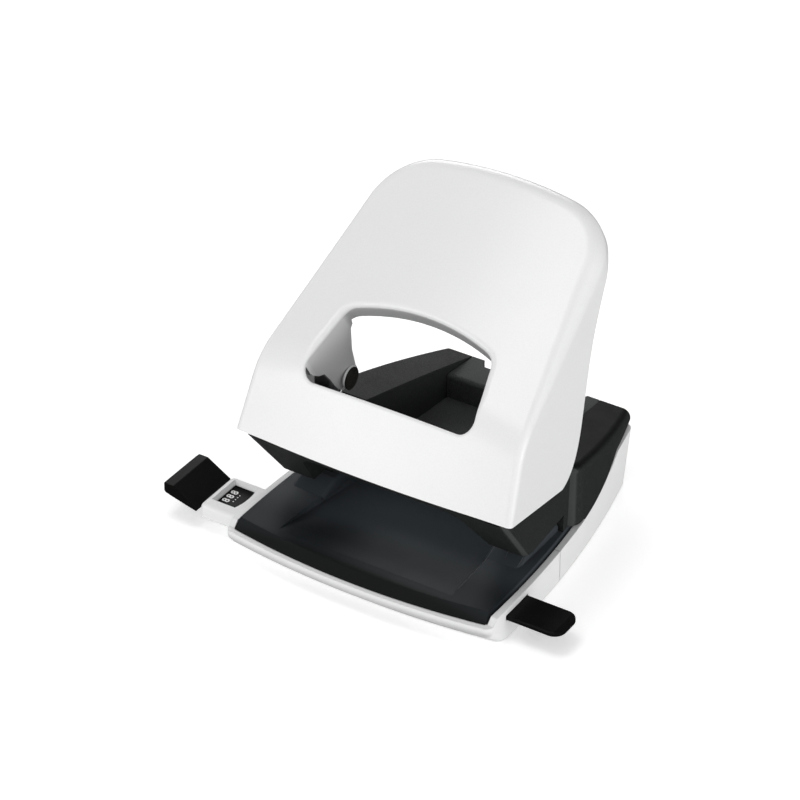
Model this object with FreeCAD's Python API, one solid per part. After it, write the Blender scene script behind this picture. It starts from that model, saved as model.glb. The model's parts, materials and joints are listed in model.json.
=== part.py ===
import FreeCAD, Part
import math
import os
from FreeCAD import Vector

# Two-hole desk punch with a broad pressed-steel lever handle.
# Millimetres. +X runs along the punch pins to the right, +Y away from the user, +Z up.
# The origin lies on the table, on the plane of symmetry.

# ---------------------------------------------------------------- driving dimensions
# Holes and paper
HOLE_SPACING = 80.0
PUNCH_X = HOLE_SPACING / 2
PUNCH_DIA = 5.5
PUNCH_Y = 7.5
EDGE_TO_HOLE = 12.0
DIE_TOP_Z = 17.5
PAPER_GAP = 4.5

# Fits
RUN_FIT = 0.05
PART_GAP = 0.3
WALL_GAP = 0.5

# White base and chip tray
FOOT_H = 0.4
BASE_HALF_FRONT = PUNCH_X + 14.9
BASE_HALF_MID = BASE_HALF_FRONT - 3.6
BASE_HALF_REAR = BASE_HALF_FRONT - 12.3
BASE_SIDE_MID_Y = 32.0
BASE_REAR_Y = 81.0
BASE_REAR_LEAN = 4.4
BASE_NOSE_Y = -43.6
BASE_NOSE_CORNER_Y = -39.0
BASE_NOSE_Z = 7.6
BASE_TOE_SETBACK = 8.5
BASE_WALL = 2.4
BASE_FLOOR = 1.8
BASE_CORNER_R = 3.0
RIM_FRONT_Z = 11.0
RIM_SIDE_Z = 13.2
RIM_REAR_Z = 22.4
RIM_RISE_Y = 27.0
RIM_KINK_Y = 64.0
RIM_RISE_R = 70.0
SEAM_Y = 10.5
SEAM_GAP = 0.3

# Black base plate
PLATE_T = 1.5
PLATE_TOP_Z = 14.5
PLATE_NOSE_DROP = 3.2
PLATE_NOSE_RUN = 3.2
PLATE_NOSE_REACH = 1.4
PLATE_BROW = 0.4
PLATE_REAR_Y = 31.0
BASIN_HALF_FRONT = PUNCH_X - 4.0
BASIN_HALF_REAR = PUNCH_X - 9.0
BASIN_START_Y = -33.0
BASIN_SLOPE = 0.105
PAD_IN_X = PUNCH_X - 6.4
PAD_OUT_X = PUNCH_X + 7.5
PAD_RAMP_Y = -8.0
PAD_FRONT_Y = 0.5
PAD_EDGE_R = 1.4

# Chassis
CHASSIS_WALL = 2.0
CHASSIS_FLARE = 2.0
CHASSIS_INSET = 0.5
CHASSIS_TALL = 60.0
CHASSIS_REAR_Y = 83.5
CHASSIS_REAR_TOP_Z = 26.6
CHASSIS_TOP_SLOPE = 0.223
CHASSIS_TOP_EDGE_R = 2.2
CHASSIS_LIP_Z = 22.9
CHASSIS_FOOT_Z = 4.0
WING_FRONT_Y = -28.3
WING_FRONT_Z = 46.5
WING_TOE_Y = -9.5
WING_FLOOR = 2.5
WING_CORNER_R = 3.0
BEAM_HALF = PUNCH_X - 8.0
BEAM_LOW_Z = 41.8
BEAM_DEPTH = 4.2
ARCH_FOOT_HALF = PUNCH_X - 3.5
ARCH_CORNER_R = 7.0
WELL_HALF_FRONT = PUNCH_X - 7.0
WELL_HALF_REAR = PUNCH_X - 13.1
WELL_BOW = 0.9
TOWER_HALF_FRONT = PUNCH_X + 12.4
TOWER_HALF_MID = PUNCH_X + 8.2
TOWER_HALF_REAR = PUNCH_X + 0.2
TOWER_FRONT_Y = 22.0
TOWER_CORNER_R = 6.5
TOWER_EDGE_R = 3.2
WELL_FRONT_TOP_Z = 30.0
BAY_FRONT_Y = -2.5
BAY_IN_X = PUNCH_X - 6.5

# Rear well between the towers
WELL_FLOOR_Z = 16.5
WELL_T = 1.6
DECK_FRONT_Y = 68.0
DECK_EDGE_R = 1.5
NOTCH_HALF = 20.5
NOTCH_DEPTH = 3.9
NOTCH_CORNER = 2.0

# Handle
LIP_Y = -31.5
LIP_Z = 48.3
LIP_ANGLE = 67.0
PANEL_Y = 5.5
PANEL_Z = 95.0
PANEL_ANGLE = 31.0
KNEE_R = 24.0
SHEET_T = 1.5
CROWN_R = 260.0
LIP_CROWN_R = 640.0
BEND_LIP_R = 1.8
BEND_TOP_R = 6.5
BEND_LIP_V = 0.0
BEND_TOP_V = 95.0
HANDLE_HALF = BASE_HALF_FRONT + 1.6
HANDLE_TAPER = 0.0933
HANDLE_TOP_V = 117.3
HANDLE_TOP_SAG = 5.0
HANDLE_CORNER_R = 24.5
RIM_DEPTH = 7.5
FLANGE_FRONT_Y = -30.0
FLANGE_FOOT_Y = 10.9
FLANGE_FOOT_Z = 39.5
FLANGE_SWEEP = [(16.8, 41.8), (28.4, 61.3), (36.4, 83.3), (46.2, 100.2)]
RIM_CROWN_DROP = 4.5
RIM_START_V = 101.5
LIP_RUNOUT = 14.0
PANEL_RUNOUT = 110.0
SKY_RUNOUT = 40.0
LOFT_MARGIN = 5.5
OUTLINE_LOW_V = -30.0
WINDOW_LOW_V = 19.9
WINDOW_HIGH_V = 54.0
WINDOW_HALF_LOW = PUNCH_X - 4.8
WINDOW_HALF_HIGH = PUNCH_X - 10.5
WINDOW_ARCH = 5.5
WINDOW_LOW_R = 5.0
WINDOW_HIGH_R = 6.0
WINDOW_FLANGE = 5.5
WINDOW_FLANGE_V = 24.0
WINDOW_SILL_R = 0.9
WINDOW_EDGE_R = 2.2
WINDOW_EDGE_V = 30.0
WINDOW_REACH = 22.0
EAR_TIP_R = 5.0
EAR_REACH = 40.0
# Ear outline from the pin's centre: run up the panel, height towards the panel
EAR_OUTLINE = [(-5.0, -1.0), (-5.8, 2.9), (-6.1, 7.9), (-6.9, 13.2), (-9.0, 15.0), (-11.0, 19.0),
               (-11.0, 36.0), (14.0, 36.0), (11.6, 20.5), (10.5, 19.1), (6.8, 9.6), (4.9, 0.9)]

# Mechanism
HINGE_Y = -19.0
HINGE_Z = 45.0
HINGE_DIA = 4.0
HINGE_HALF = BASE_HALF_FRONT - 2.6
LUG_X = PUNCH_X + 5.0
LUG_T = 2.5
LUG_R = 3.6
HANDLE_TURN = 16.5
CROSS_PIN_DIA = 5.0
CROSS_HEAD_DIA = 7.6
CROSS_HEAD_H = 1.0
CROSS_PIN_Y = 6.2
CROSS_PIN_Z = 58.5
CROSS_HEAD_X = PUNCH_X - 8.4
CROSS_END_X = PUNCH_X + 4.5
PUNCH_TIP_Z = 22.3
YOKE_T = 6.4
YOKE_WALL = 1.8
YOKE_RUN = 3.3
SLOT_PLAY = 0.35
GUIDE_DIA = 9.0
GUIDE_TOP_Z = 33.0
GUIDE_FLANGE_DIA = 12.0
GUIDE_FLANGE_H = 1.2
WASHER_DIA = 10.5
WASHER_H = 1.0
SPRING_DIA = 8.2
SPRING_WIRE = 1.0
SPRING_COILS = 6
SPRING_STEPS = 14
SPRING_SIDES = 6

# Paper guide
BAR_Y = -21.0
BAR_W = 14.5
BAR_TOP_Z = 10.4
BAR_T = 1.6
BAR_END_X = BASE_HALF_FRONT + 21.1
BAR_END_R = 4.5
BAR_RIB_W = 1.2
BAR_EDGE = 0.6
BAR_TIP_RUN = 2.6
BAR_TIP_DROP = 0.9
STOP_OUT_X = -BASE_HALF_FRONT - 31.6
STOP_LIP = 5.0
STOP_RAMP = 9.8
STOP_TOP_Z = 16.2
STOP_BELLY_Z = 10.9
STOP_FACE_H = 2.4
STOP_BROW = 1.2
STOP_W = 21.6
STOP_Y = -22.5
STOP_CORNER_R = 2.0
LEAF_T = 0.5
LEAF_W = 6.0
LEAF_HALF = 14.0
BLOCK_END_X = -BASE_HALF_FRONT - 15.7
BLOCK_Y = -22.3
BLOCK_W = 21.0
BLOCK_TOP_Z = 12.5
BLOCK_LOW_Z = 6.8
BLOCK_EDGE_R = 2.0
VIEW_IN_X = -BASE_HALF_FRONT - 4.3
VIEW_OUT_X = -BASE_HALF_FRONT - 12.3
VIEW_W = 12.4
VIEW_CHAMFER = 1.0
VIEW_BOW = 1.1

# Chip tray hinge
TRAY_HINGE_Y = -5.0
TRAY_HINGE_Z = 3.2
TRAY_PIN_DIA = 2.4
TRAY_LUG_R = 2.6
TRAY_LUG_T = 2.8
TRAY_LUG_X = BASE_HALF_FRONT - BASE_WALL - TRAY_LUG_T - 0.9
TRAY_FRONT_WALL_H = 6.2

# Screws and pads
SCREW_DIA = 3.0
SCREW_HEAD_DIA = 5.0
SCREW_HEAD_H = 1.2
SCREW_LEN = 8.0
CHASSIS_SCREW_IN = PUNCH_X - 1.8
CHASSIS_SCREW_OUT = PUNCH_X + 4.5
BOSS_DIA = 5.8
BOSS_X = PUNCH_X + 4.0
NUT_H = 2.0
NUT_BLIND = 0.5
NOSE_POST_X = PUNCH_X - 2.0
NOSE_POST_W = 6.0
PAD_DIA = 12.0
PAD_RECESS = 0.8
FRONT_PAD_X = 30.0
FRONT_PAD_Y = -25.0
TRAY_MAT_HALF = 36.0
TRAY_MAT_FRONT_Y = -2.4
TRAY_MAT_REAR_Y = 70.0
TRAY_MAT_CORNER = 4.0

# ---------------------------------------------------------------- derived places
PAPER_STOP_Y = PUNCH_Y + EDGE_TO_HOLE
CEILING_Z = DIE_TOP_Z + PAPER_GAP
INSET = BASE_WALL + WALL_GAP
FAR = 300.0


# ---------------------------------------------------------------- small helpers
def box(x0, x1, y0, y1, z0, z1):
    """Block between two corners."""
    return Part.makeBox(x1 - x0, y1 - y0, z1 - z0, Vector(x0, y0, z0))


def rod(x, y, z, direction, dia, length):
    """Round bar from a start point along a direction."""
    return Part.makeCylinder(dia / 2, length, Vector(x, y, z), direction)


def x_rod(x0, x1, y, z, dia):
    """Round bar along X between two stations."""
    return rod(x0, y, z, Vector(1, 0, 0), dia, x1 - x0)


def z_rod(x, y, z0, z1, dia):
    """Upright round bar between two heights."""
    return rod(x, y, z0, Vector(0, 0, 1), dia, z1 - z0)


def side_prism(outline, x0=-FAR, x1=FAR):
    """Extrude a closed (y, z) outline along X."""
    points = [Vector(x0, y, z) for y, z in outline]
    face = Part.Face(Part.makePolygon(points + points[:1]))
    return face.extrude(Vector(x1 - x0, 0, 0))


def plan_prism(outline, z0, z1):
    """Extrude a closed (x, y) outline upwards."""
    points = [Vector(x, y, z0) for x, y in outline]
    face = Part.Face(Part.makePolygon(points + points[:1]))
    return face.extrude(Vector(0, 0, z1 - z0))


def front_prism(outline, y0, y1):
    """Extrude a closed (x, z) outline along Y."""
    points = [Vector(x, y0, z) for x, z in outline]
    face = Part.Face(Part.makePolygon(points + points[:1]))
    return face.extrude(Vector(0, y1 - y0, 0))


def mirrored(shape):
    """The same piece on the other side of the plane of symmetry."""
    return shape.mirror(Vector(0, 0, 0), Vector(1, 0, 0))


def both(shape):
    """A piece together with its mirror image."""
    return shape.fuse(mirrored(shape))


def rounded(shape, radius, chosen):
    """Fillet the edges that the test picks out."""
    edges = [edge for edge in shape.Edges if chosen(edge)]
    return shape.makeFillet(radius, edges)


def blended(shape, chosen, radius_at):
    """Fillet one smooth run of picked edges, with a radius that follows a rule from place to place."""
    picked = [(number, edge) for number, edge in enumerate(shape.Edges, 1) if chosen(edge)]
    lead = picked[0][1]
    run = Part.__sortEdges__([edge for number, edge in picked])
    ends = []
    for number, edge in picked:
        piece = min(run, key=lambda other: (other.CenterOfMass - edge.CenterOfMass).Length)
        ends.append((piece.valueAt(piece.FirstParameter), piece.valueAt(piece.LastParameter)))
    # The radii are laid along the run in the sense of its first edge.
    lead_start = lead.valueAt(lead.FirstParameter)
    forward = (ends[0][0] - lead_start).Length < (ends[0][1] - lead_start).Length
    step = 1 if forward else -1
    radii = [[radius_at(point) for point in pair[::step]] for pair in ends]
    doc = FreeCAD.newDocument()
    base = doc.addObject("Part::Feature", "Base")
    base.Shape = shape
    blend = doc.addObject("Part::Fillet", "Blend")
    blend.Base = base
    blend.Edges = [(number, start, end) for (number, edge), (start, end) in zip(picked, radii)]
    doc.recompute()
    result = blend.Shape.copy()
    FreeCAD.closeDocument(doc.Name)
    return result


def upright(edge):
    """True for a straight edge along Z."""
    ends = edge.Vertexes
    if len(ends) < 2 or not isinstance(edge.Curve, Part.Line):
        return False
    step = ends[1].Point - ends[0].Point
    return abs(step.z) > 0.999 * step.Length


def arc3(a, b, c):
    """Circular edge through three points."""
    return Part.Arc(a, b, c).toShape()


def save(name, *shapes):
    """Write one node; several solids stay separate inside it."""
    shape = shapes[0] if len(shapes) == 1 else Part.makeCompound(list(shapes))
    shape = shape.removeSplitter() if len(shapes) == 1 else shape
    shape.exportStep(os.path.join("parts", name + ".step"))
    print("%-24s solids %d  valid %s  volume %.1f" % (name, len(shape.Solids), shape.isValid(), shape.Volume))


# ---------------------------------------------------------------- plan outline of the base
def base_outline(z, inset, toe=0.0, lean=0.0, flare=0.0):
    """Closed plan wire: bowed front, bowed tapering sides, straight rear."""
    xf = BASE_HALF_FRONT - inset + flare
    xm = BASE_HALF_MID - inset + flare * 0.3
    xr = BASE_HALF_REAR - inset
    y_corner = BASE_NOSE_CORNER_Y + inset + toe
    y_nose = BASE_NOSE_Y + inset + toe
    y_rear = BASE_REAR_Y - inset - lean
    left = arc3(Vector(-xr, y_rear, z), Vector(-xm, BASE_SIDE_MID_Y, z), Vector(-xf, y_corner, z))
    front = arc3(Vector(-xf, y_corner, z), Vector(0, y_nose, z), Vector(xf, y_corner, z))
    right = arc3(Vector(xf, y_corner, z), Vector(xm, BASE_SIDE_MID_Y, z), Vector(xr, y_rear, z))
    rear = Part.makeLine(Vector(xr, y_rear, z), Vector(-xr, y_rear, z))
    return Part.Wire([left, front, right, rear])


def rear_lean(z):
    """How far the rear wall stands forward of its top edge at this height."""
    return BASE_REAR_LEAN * (RIM_REAR_Z - z) / RIM_REAR_Z


def base_body(inset, z0, z1):
    """Solid between two heights with the nose undercut and the leaning rear wall."""
    toe = BASE_TOE_SETBACK * (BASE_NOSE_Z - min(z0, BASE_NOSE_Z)) / BASE_NOSE_Z
    lower = base_outline(z0, inset, toe, rear_lean(z0))
    waist = base_outline(BASE_NOSE_Z, inset, 0.0, rear_lean(BASE_NOSE_Z))
    upper = base_outline(z1, inset, 0.0, rear_lean(z1))
    return Part.makeLoft([lower, waist, upper], True, True)


def chip_and_front_shell():
    """The white wall all round, from which the front base and the chip tray are divided."""
    top = RIM_REAR_Z + 1.0
    outer = rounded(base_body(0.0, FOOT_H, top), BASE_CORNER_R, near_corner)
    inner = base_body(BASE_WALL, FOOT_H + BASE_FLOOR, top + 1.0)
    return outer.cut(inner).common(rim_profile())


def near_corner(edge):
    """True for the edges that run up the four corners of the base."""
    ends = edge.Vertexes
    if len(ends) < 2:
        return False
    step = ends[1].Point - ends[0].Point
    middle = (ends[0].Point + ends[1].Point) * 0.5
    return abs(step.z) > 1.0 and abs(middle.x) > BASE_HALF_REAR - 2.0


def rim_profile():
    """Side view of what the wall keeps: a low front, a swept rise and a level rear."""
    run = RIM_KINK_Y - RIM_RISE_Y
    rise = RIM_REAR_Z - RIM_SIDE_Z
    start = Vector(-FAR, RIM_RISE_Y, RIM_SIDE_Z)
    kink = Vector(-FAR, RIM_KINK_Y, RIM_REAR_Z)
    bow = Vector(-FAR, RIM_RISE_Y + run / 2, RIM_SIDE_Z + rise / 2 - run * run / (8 * RIM_RISE_R))
    nose_y = BASE_NOSE_CORNER_Y + BASE_WALL
    corners = [
        Vector(-FAR, BASE_REAR_Y + 20, RIM_REAR_Z),
        Vector(-FAR, BASE_REAR_Y + 20, -1),
        Vector(-FAR, BASE_NOSE_Y - 20, -1),
        Vector(-FAR, BASE_NOSE_Y - 20, RIM_FRONT_Z),
        Vector(-FAR, nose_y, RIM_FRONT_Z),
        Vector(-FAR, nose_y + RIM_SIDE_Z - RIM_FRONT_Z, RIM_SIDE_Z),
        start,
    ]
    edges = [Part.makeLine(a, b) for a, b in zip(corners[:-1], corners[1:])]
    edges.append(arc3(start, bow, kink))
    edges.append(Part.makeLine(kink, corners[0]))
    return Part.Face(Part.Wire(edges)).extrude(Vector(2 * FAR, 0, 0))


# ---------------------------------------------------------------- front base
def bar_slot(play):
    """Space for the guide bar right through the base."""
    half = BAR_W / 2 + play
    return box(-FAR, FAR, BAR_Y - half, BAR_Y + half, BAR_TOP_Z - BAR_T - play, BAR_TOP_Z + play)


def view_block():
    """Arm on the left that the bar runs through, with a bevelled window over its scale."""
    half = BLOCK_W / 2
    wall_x = -BASE_HALF_FRONT + BASE_WALL / 2
    arm = box(BLOCK_END_X, wall_x, BLOCK_Y - half, BLOCK_Y + half, BLOCK_LOW_Z, BLOCK_TOP_Z)

    def outer(edge):
        bb = edge.BoundBox
        return bb.XMax < wall_x - 0.1 or (bb.ZMin > BLOCK_TOP_Z - 0.01 and bb.YLength < 0.01)

    arm = rounded(arm, BLOCK_EDGE_R, outer)
    low = view_wire(0.0, BAR_TOP_Z - 0.1)
    high = view_wire(VIEW_CHAMFER, BLOCK_TOP_Z + 0.01)
    return arm.cut(Part.makeLoft([low, high], True, True))


def view_wire(grow, z):
    """Outline of the viewing window at a height, grown by its bevel."""
    half = VIEW_W / 2 + grow
    x0 = VIEW_OUT_X - grow
    x1 = VIEW_IN_X + grow
    near_in = Vector(x1, BAR_Y - half, z)
    near_out = Vector(x0, BAR_Y - half, z)
    far_out = Vector(x0, BAR_Y + half, z)
    far_in = Vector(x1, BAR_Y + half, z)
    bow = arc3(far_in, Vector(x1 + VIEW_BOW, BAR_Y, z), near_in)
    return Part.Wire([Part.makeLine(near_in, near_out), Part.makeLine(near_out, far_out),
                      Part.makeLine(far_out, far_in), bow])


def boss_places():
    """Screw bosses under the base plate, just behind the bar."""
    y = BAR_Y + BAR_W / 2 + PART_GAP + BOSS_DIA / 2
    return [(-BOSS_X, y), (BOSS_X, y)]


def nose_posts():
    """Posts ahead of the bar that carry the nose of the base plate."""
    posts = []
    y0 = BASE_NOSE_CORNER_Y + INSET + PLATE_T + PLATE_BROW + PLATE_NOSE_RUN - PLATE_NOSE_REACH
    for side in (-1, 1):
        x0, x1 = sorted((side * NOSE_POST_X, side * (NOSE_POST_X + NOSE_POST_W)))
        posts.append(box(x0, x1, y0, BAR_Y - BAR_W / 2 - PART_GAP, FOOT_H, PLATE_TOP_Z - PLATE_T))
    return posts[0].fuse(posts[1]).common(base_body(BASE_WALL / 2, FOOT_H, PLATE_TOP_Z))


def front_base():
    """White tray wall ahead of the seam, with floor, bar guides, bosses and hinge lugs."""
    ahead = box(-FAR, FAR, -FAR, SEAM_Y, -1, FAR)
    shell = chip_and_front_shell().common(ahead)
    floor_end = TRAY_HINGE_Y - (TRAY_HINGE_Z - FOOT_H) - PART_GAP
    inside = base_body(BASE_WALL, FOOT_H + BASE_FLOOR, PLATE_TOP_Z)
    shell = shell.cut(inside.common(box(-FAR, FAR, floor_end, FAR, -1, FAR)))
    shell = shell.cut(floor_gap(floor_end))
    part = shell.fuse(view_block())
    for x, y in boss_places():
        part = part.fuse(z_rod(x, y, FOOT_H, plate_under(x, y) - NUT_H, BOSS_DIA))
    part = part.fuse(bar_ribs()).fuse(nose_posts())
    part = part.fuse(both(tray_lug_outer()))
    part = part.cut(bar_slot(PART_GAP))
    for x, y in boss_places():
        part = part.cut(z_rod(x, y, FOOT_H - 1, FOOT_H + SCREW_HEAD_H, SCREW_HEAD_DIA + 2 * PART_GAP))
        part = part.cut(z_rod(x, y, FOOT_H, FAR, SCREW_DIA + 2 * RUN_FIT))
    for x, y in front_pad_places():
        part = part.cut(z_rod(x, y, -1, FOOT_H + PAD_RECESS, PAD_DIA + 2 * RUN_FIT))
    bore = x_rod(TRAY_LUG_X - 1, TRAY_LUG_X + TRAY_LUG_T + 2, TRAY_HINGE_Y, TRAY_HINGE_Z,
                 TRAY_PIN_DIA + 2 * RUN_FIT)
    return part.cut(both(bore))


def floor_gap(floor_end):
    """The floor stops ahead of the tray hinge, between the side walls."""
    half = BASE_HALF_FRONT - BASE_WALL
    return box(-half, half, floor_end, SEAM_Y + 1, -1, FOOT_H + BASE_FLOOR + 0.1)


def tray_lug_outer():
    """Hinge lug inside the right wall."""
    x0 = TRAY_LUG_X
    x1 = BASE_HALF_FRONT - BASE_WALL + 0.6
    lug = x_rod(x0, x1, TRAY_HINGE_Y, TRAY_HINGE_Z, 2 * TRAY_LUG_R)
    stem = box(x0, x1, TRAY_HINGE_Y - TRAY_LUG_R, TRAY_HINGE_Y + TRAY_LUG_R, TRAY_HINGE_Z, RIM_FRONT_Z - 1.0)
    return lug.fuse(stem).cut(box(-FAR, FAR, -FAR, FAR, -1, FOOT_H))


def bar_ribs():
    """Two saddles on the floor that the bar slides across."""
    half = BAR_W / 2 + PART_GAP + BAR_RIB_W
    saddles = []
    for x in (-25.0, 25.0):
        saddles.append(box(x - 3, x + 3, BAR_Y - half, BAR_Y + half, FOOT_H + BASE_FLOOR, BAR_TOP_Z - 0.4))
    return saddles[0].fuse(saddles[1])


def front_pad_places():
    """Anti-slip pads under the front base."""
    return [(-FRONT_PAD_X, FRONT_PAD_Y), (FRONT_PAD_X, FRONT_PAD_Y)]


# ---------------------------------------------------------------- chip tray
def chip_tray():
    """White rear of the base: a hinged tray that catches the chips."""
    behind = box(-FAR, FAR, SEAM_Y + SEAM_GAP, FAR, -1, FAR)
    shell = chip_and_front_shell().common(behind)
    tongue_half = TRAY_LUG_X - PART_GAP
    front_y = TRAY_HINGE_Y
    top = FOOT_H + BASE_FLOOR
    tongue = box(-tongue_half, tongue_half, front_y, SEAM_Y + SEAM_GAP + 2, FOOT_H, top)
    wall_y = TRAY_HINGE_Y + TRAY_LUG_R
    wall = box(-tongue_half, tongue_half, wall_y, wall_y + BASE_FLOOR, FOOT_H, FOOT_H + TRAY_FRONT_WALL_H)
    wall_top = FOOT_H + TRAY_FRONT_WALL_H
    cheek = box(tongue_half - BASE_FLOOR, tongue_half, wall_y, SEAM_Y + SEAM_GAP + 2, FOOT_H, wall_top)
    part = shell.fuse(tongue).fuse(wall).fuse(both(cheek))
    knuckle_x = tongue_half - TRAY_LUG_T
    knuckle = x_rod(knuckle_x, tongue_half, TRAY_HINGE_Y, TRAY_HINGE_Z, 2 * TRAY_LUG_R)
    foot = box(knuckle_x, tongue_half, TRAY_HINGE_Y, wall_y + 1, FOOT_H, TRAY_HINGE_Z + TRAY_LUG_R)
    knuckle = knuckle.fuse(foot).cut(box(-FAR, FAR, -FAR, FAR, -1, FOOT_H))
    part = part.fuse(both(knuckle))
    bore = x_rod(knuckle_x - 1, tongue_half + 1, TRAY_HINGE_Y, TRAY_HINGE_Z, TRAY_PIN_DIA + 2 * RUN_FIT)
    part = part.cut(both(bore))
    return part.cut(mat_space(RUN_FIT))


def tray_hinge_pin():
    """Right-hand pin between base lug and tray knuckle."""
    x0 = TRAY_LUG_X - PART_GAP - TRAY_LUG_T
    x1 = TRAY_LUG_X + TRAY_LUG_T
    return x_rod(x0, x1, TRAY_HINGE_Y, TRAY_HINGE_Z, TRAY_PIN_DIA)


# ---------------------------------------------------------------- base plate
def basin_z(y):
    """Height of the dished middle of the base plate."""
    return PLATE_TOP_Z - BASIN_SLOPE * max(0.0, y - BASIN_START_Y)


def plate_under(x, y):
    """Underside of the base plate above a place."""
    top = basin_z(y) if abs(x) < BASIN_HALF_REAR else PLATE_TOP_Z
    return top - PLATE_T


def plate_outer(shrink):
    """Block of the plate: bevelled nose, tapering sides, set in by the sheet when hollowing."""
    low_z = PLATE_TOP_Z - PLATE_NOSE_DROP
    top_z = PLATE_TOP_Z - shrink
    inset = INSET + shrink
    nose = base_outline(low_z, inset, -PLATE_NOSE_REACH)
    brow = base_outline(top_z, inset + PLATE_BROW, PLATE_NOSE_RUN - PLATE_NOSE_REACH)
    block = Part.makeLoft([nose, brow], True, True)
    if shrink:
        skirt = Part.Face(base_outline(low_z - 2, inset, -PLATE_NOSE_REACH))
        block = block.fuse(skirt.extrude(Vector(0, 0, 2.01)))
    return block.common(box(-FAR, FAR, -FAR, PLATE_REAR_Y, -1, FAR))


def basin(shrink):
    """Wedge that sinks the middle of the plate, deeper towards the rear."""
    grow = shrink
    reach = PLATE_REAR_Y + 10
    front = BASIN_START_Y
    half0 = BASIN_HALF_FRONT + grow
    half1 = BASIN_HALF_REAR + grow
    drop = BASIN_SLOPE * (reach - front)
    lid_z = PLATE_TOP_Z + 9
    apex_z = PLATE_TOP_Z - grow
    deep_z = PLATE_TOP_Z - drop - grow
    apex = Part.makePolygon([Vector(-half0, front, apex_z), Vector(half0, front, apex_z),
                             Vector(half0, front, lid_z), Vector(-half0, front, lid_z),
                             Vector(-half0, front, apex_z)])
    deep = Part.makePolygon([Vector(-half1, reach, deep_z), Vector(half1, reach, deep_z),
                             Vector(half0, reach, lid_z), Vector(-half0, reach, lid_z),
                             Vector(-half1, reach, deep_z)])
    return Part.makeLoft([apex, deep], True, True)


def base_plate():
    """Pressed steel bed: bevelled nose, dished middle and a raised pad round each die hole."""
    skin = plate_outer(0.0).cut(plate_outer(PLATE_T))
    below = Part.Face(base_outline(0, INSET)).extrude(Vector(0, 0, PLATE_TOP_Z))
    web = basin(PLATE_T).common(below).common(box(-FAR, FAR, -FAR, PLATE_REAR_Y, -1, PLATE_TOP_Z))
    part = skin.fuse(web).cut(basin(0.0))
    for side in (-1, 1):
        part = part.fuse(die_pad(side))
    for x, y in boss_places():
        nut = z_rod(x, y, plate_under(x, y) - NUT_H, plate_under(x, y) + PLATE_T / 2, BOSS_DIA)
        part = part.fuse(nut).cut(z_rod(x, y, 0, plate_under(x, y) + NUT_BLIND, SCREW_DIA))
    for side in (-1, 1):
        part = part.cut(z_rod(side * PUNCH_X, PUNCH_Y, -1, FAR, PUNCH_DIA + 2 * RUN_FIT))
    for x, y in chassis_screw_places():
        part = part.cut(z_rod(x, y, -1, FAR, SCREW_DIA + 2 * RUN_FIT))
    return part


def die_pad(side):
    """Raised pad with a ramp ahead of it, hollow below like the rest of the pressing."""
    x0, x1 = sorted((side * PAD_IN_X, side * PAD_OUT_X))
    low = PLATE_TOP_Z - PLATE_T
    rear = PAPER_STOP_Y - PART_GAP
    rise = [(PAD_RAMP_Y, PLATE_TOP_Z), (PAD_FRONT_Y, DIE_TOP_Z), (rear, DIE_TOP_Z)]
    pad = side_prism([(PAD_RAMP_Y, low)] + rise + [(rear, low)], x0, x1)

    def shoulder(edge):
        bb = edge.BoundBox
        return bb.XLength < 0.01 and bb.YLength > 1.0 and bb.ZMax > DIE_TOP_Z - 0.01

    pad = rounded(pad, PAD_EDGE_R, shoulder)
    under = [(y + PLATE_T, z - PLATE_T) for y, z in rise[:2]] + [(rear - PLATE_T, DIE_TOP_Z - PLATE_T)]
    hollow = side_prism([(PAD_RAMP_Y + PLATE_T, low - 1)] + under + [(rear - PLATE_T, low - 1)],
                        x0 + PLATE_T, x1 - PLATE_T)
    seat = z_rod(side * PUNCH_X, PUNCH_Y, low, DIE_TOP_Z - 0.5, PUNCH_DIA + 4)
    return pad.cut(hollow).fuse(seat)


def chassis_screw_places():
    """Screws that hold the plate up against the chassis bosses, behind the paper stop."""
    y = (PAPER_STOP_Y + CHASSIS_WALL + PLATE_REAR_Y) / 2
    return [(x, y) for x in (-CHASSIS_SCREW_OUT, -CHASSIS_SCREW_IN, CHASSIS_SCREW_IN, CHASSIS_SCREW_OUT)]


# ---------------------------------------------------------------- chassis
def chassis_outline(z, inset=0.0):
    """Plan wire of the chassis at a height; it flares a little towards the top of the front."""
    flare = CHASSIS_FLARE * (z - CHASSIS_FOOT_Z) / (WING_FRONT_Z - CHASSIS_FOOT_Z)
    reach = BASE_REAR_Y - CHASSIS_REAR_Y - INSET - CHASSIS_INSET
    return base_outline(z, INSET + CHASSIS_INSET + inset, 0.0, reach, flare)


def chassis_block(inset=0.0):
    """Solid inside the chassis outline over its whole height."""
    outlines = [chassis_outline(CHASSIS_FOOT_Z, inset), chassis_outline(CHASSIS_TALL, inset)]
    return Part.makeLoft(outlines, True, True)


def top_plane_z(y, drop=0.0):
    """Height of the sloping top at a depth, or of its underside."""
    return CHASSIS_REAR_TOP_Z + CHASSIS_TOP_SLOPE * (CHASSIS_REAR_Y - y) - drop


def beam_line(back):
    """Two points of the slanting front, moved back by a wall."""
    return [(WING_TOE_Y + back, CEILING_Z), (WING_FRONT_Y + back, WING_FRONT_Z)]


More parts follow.
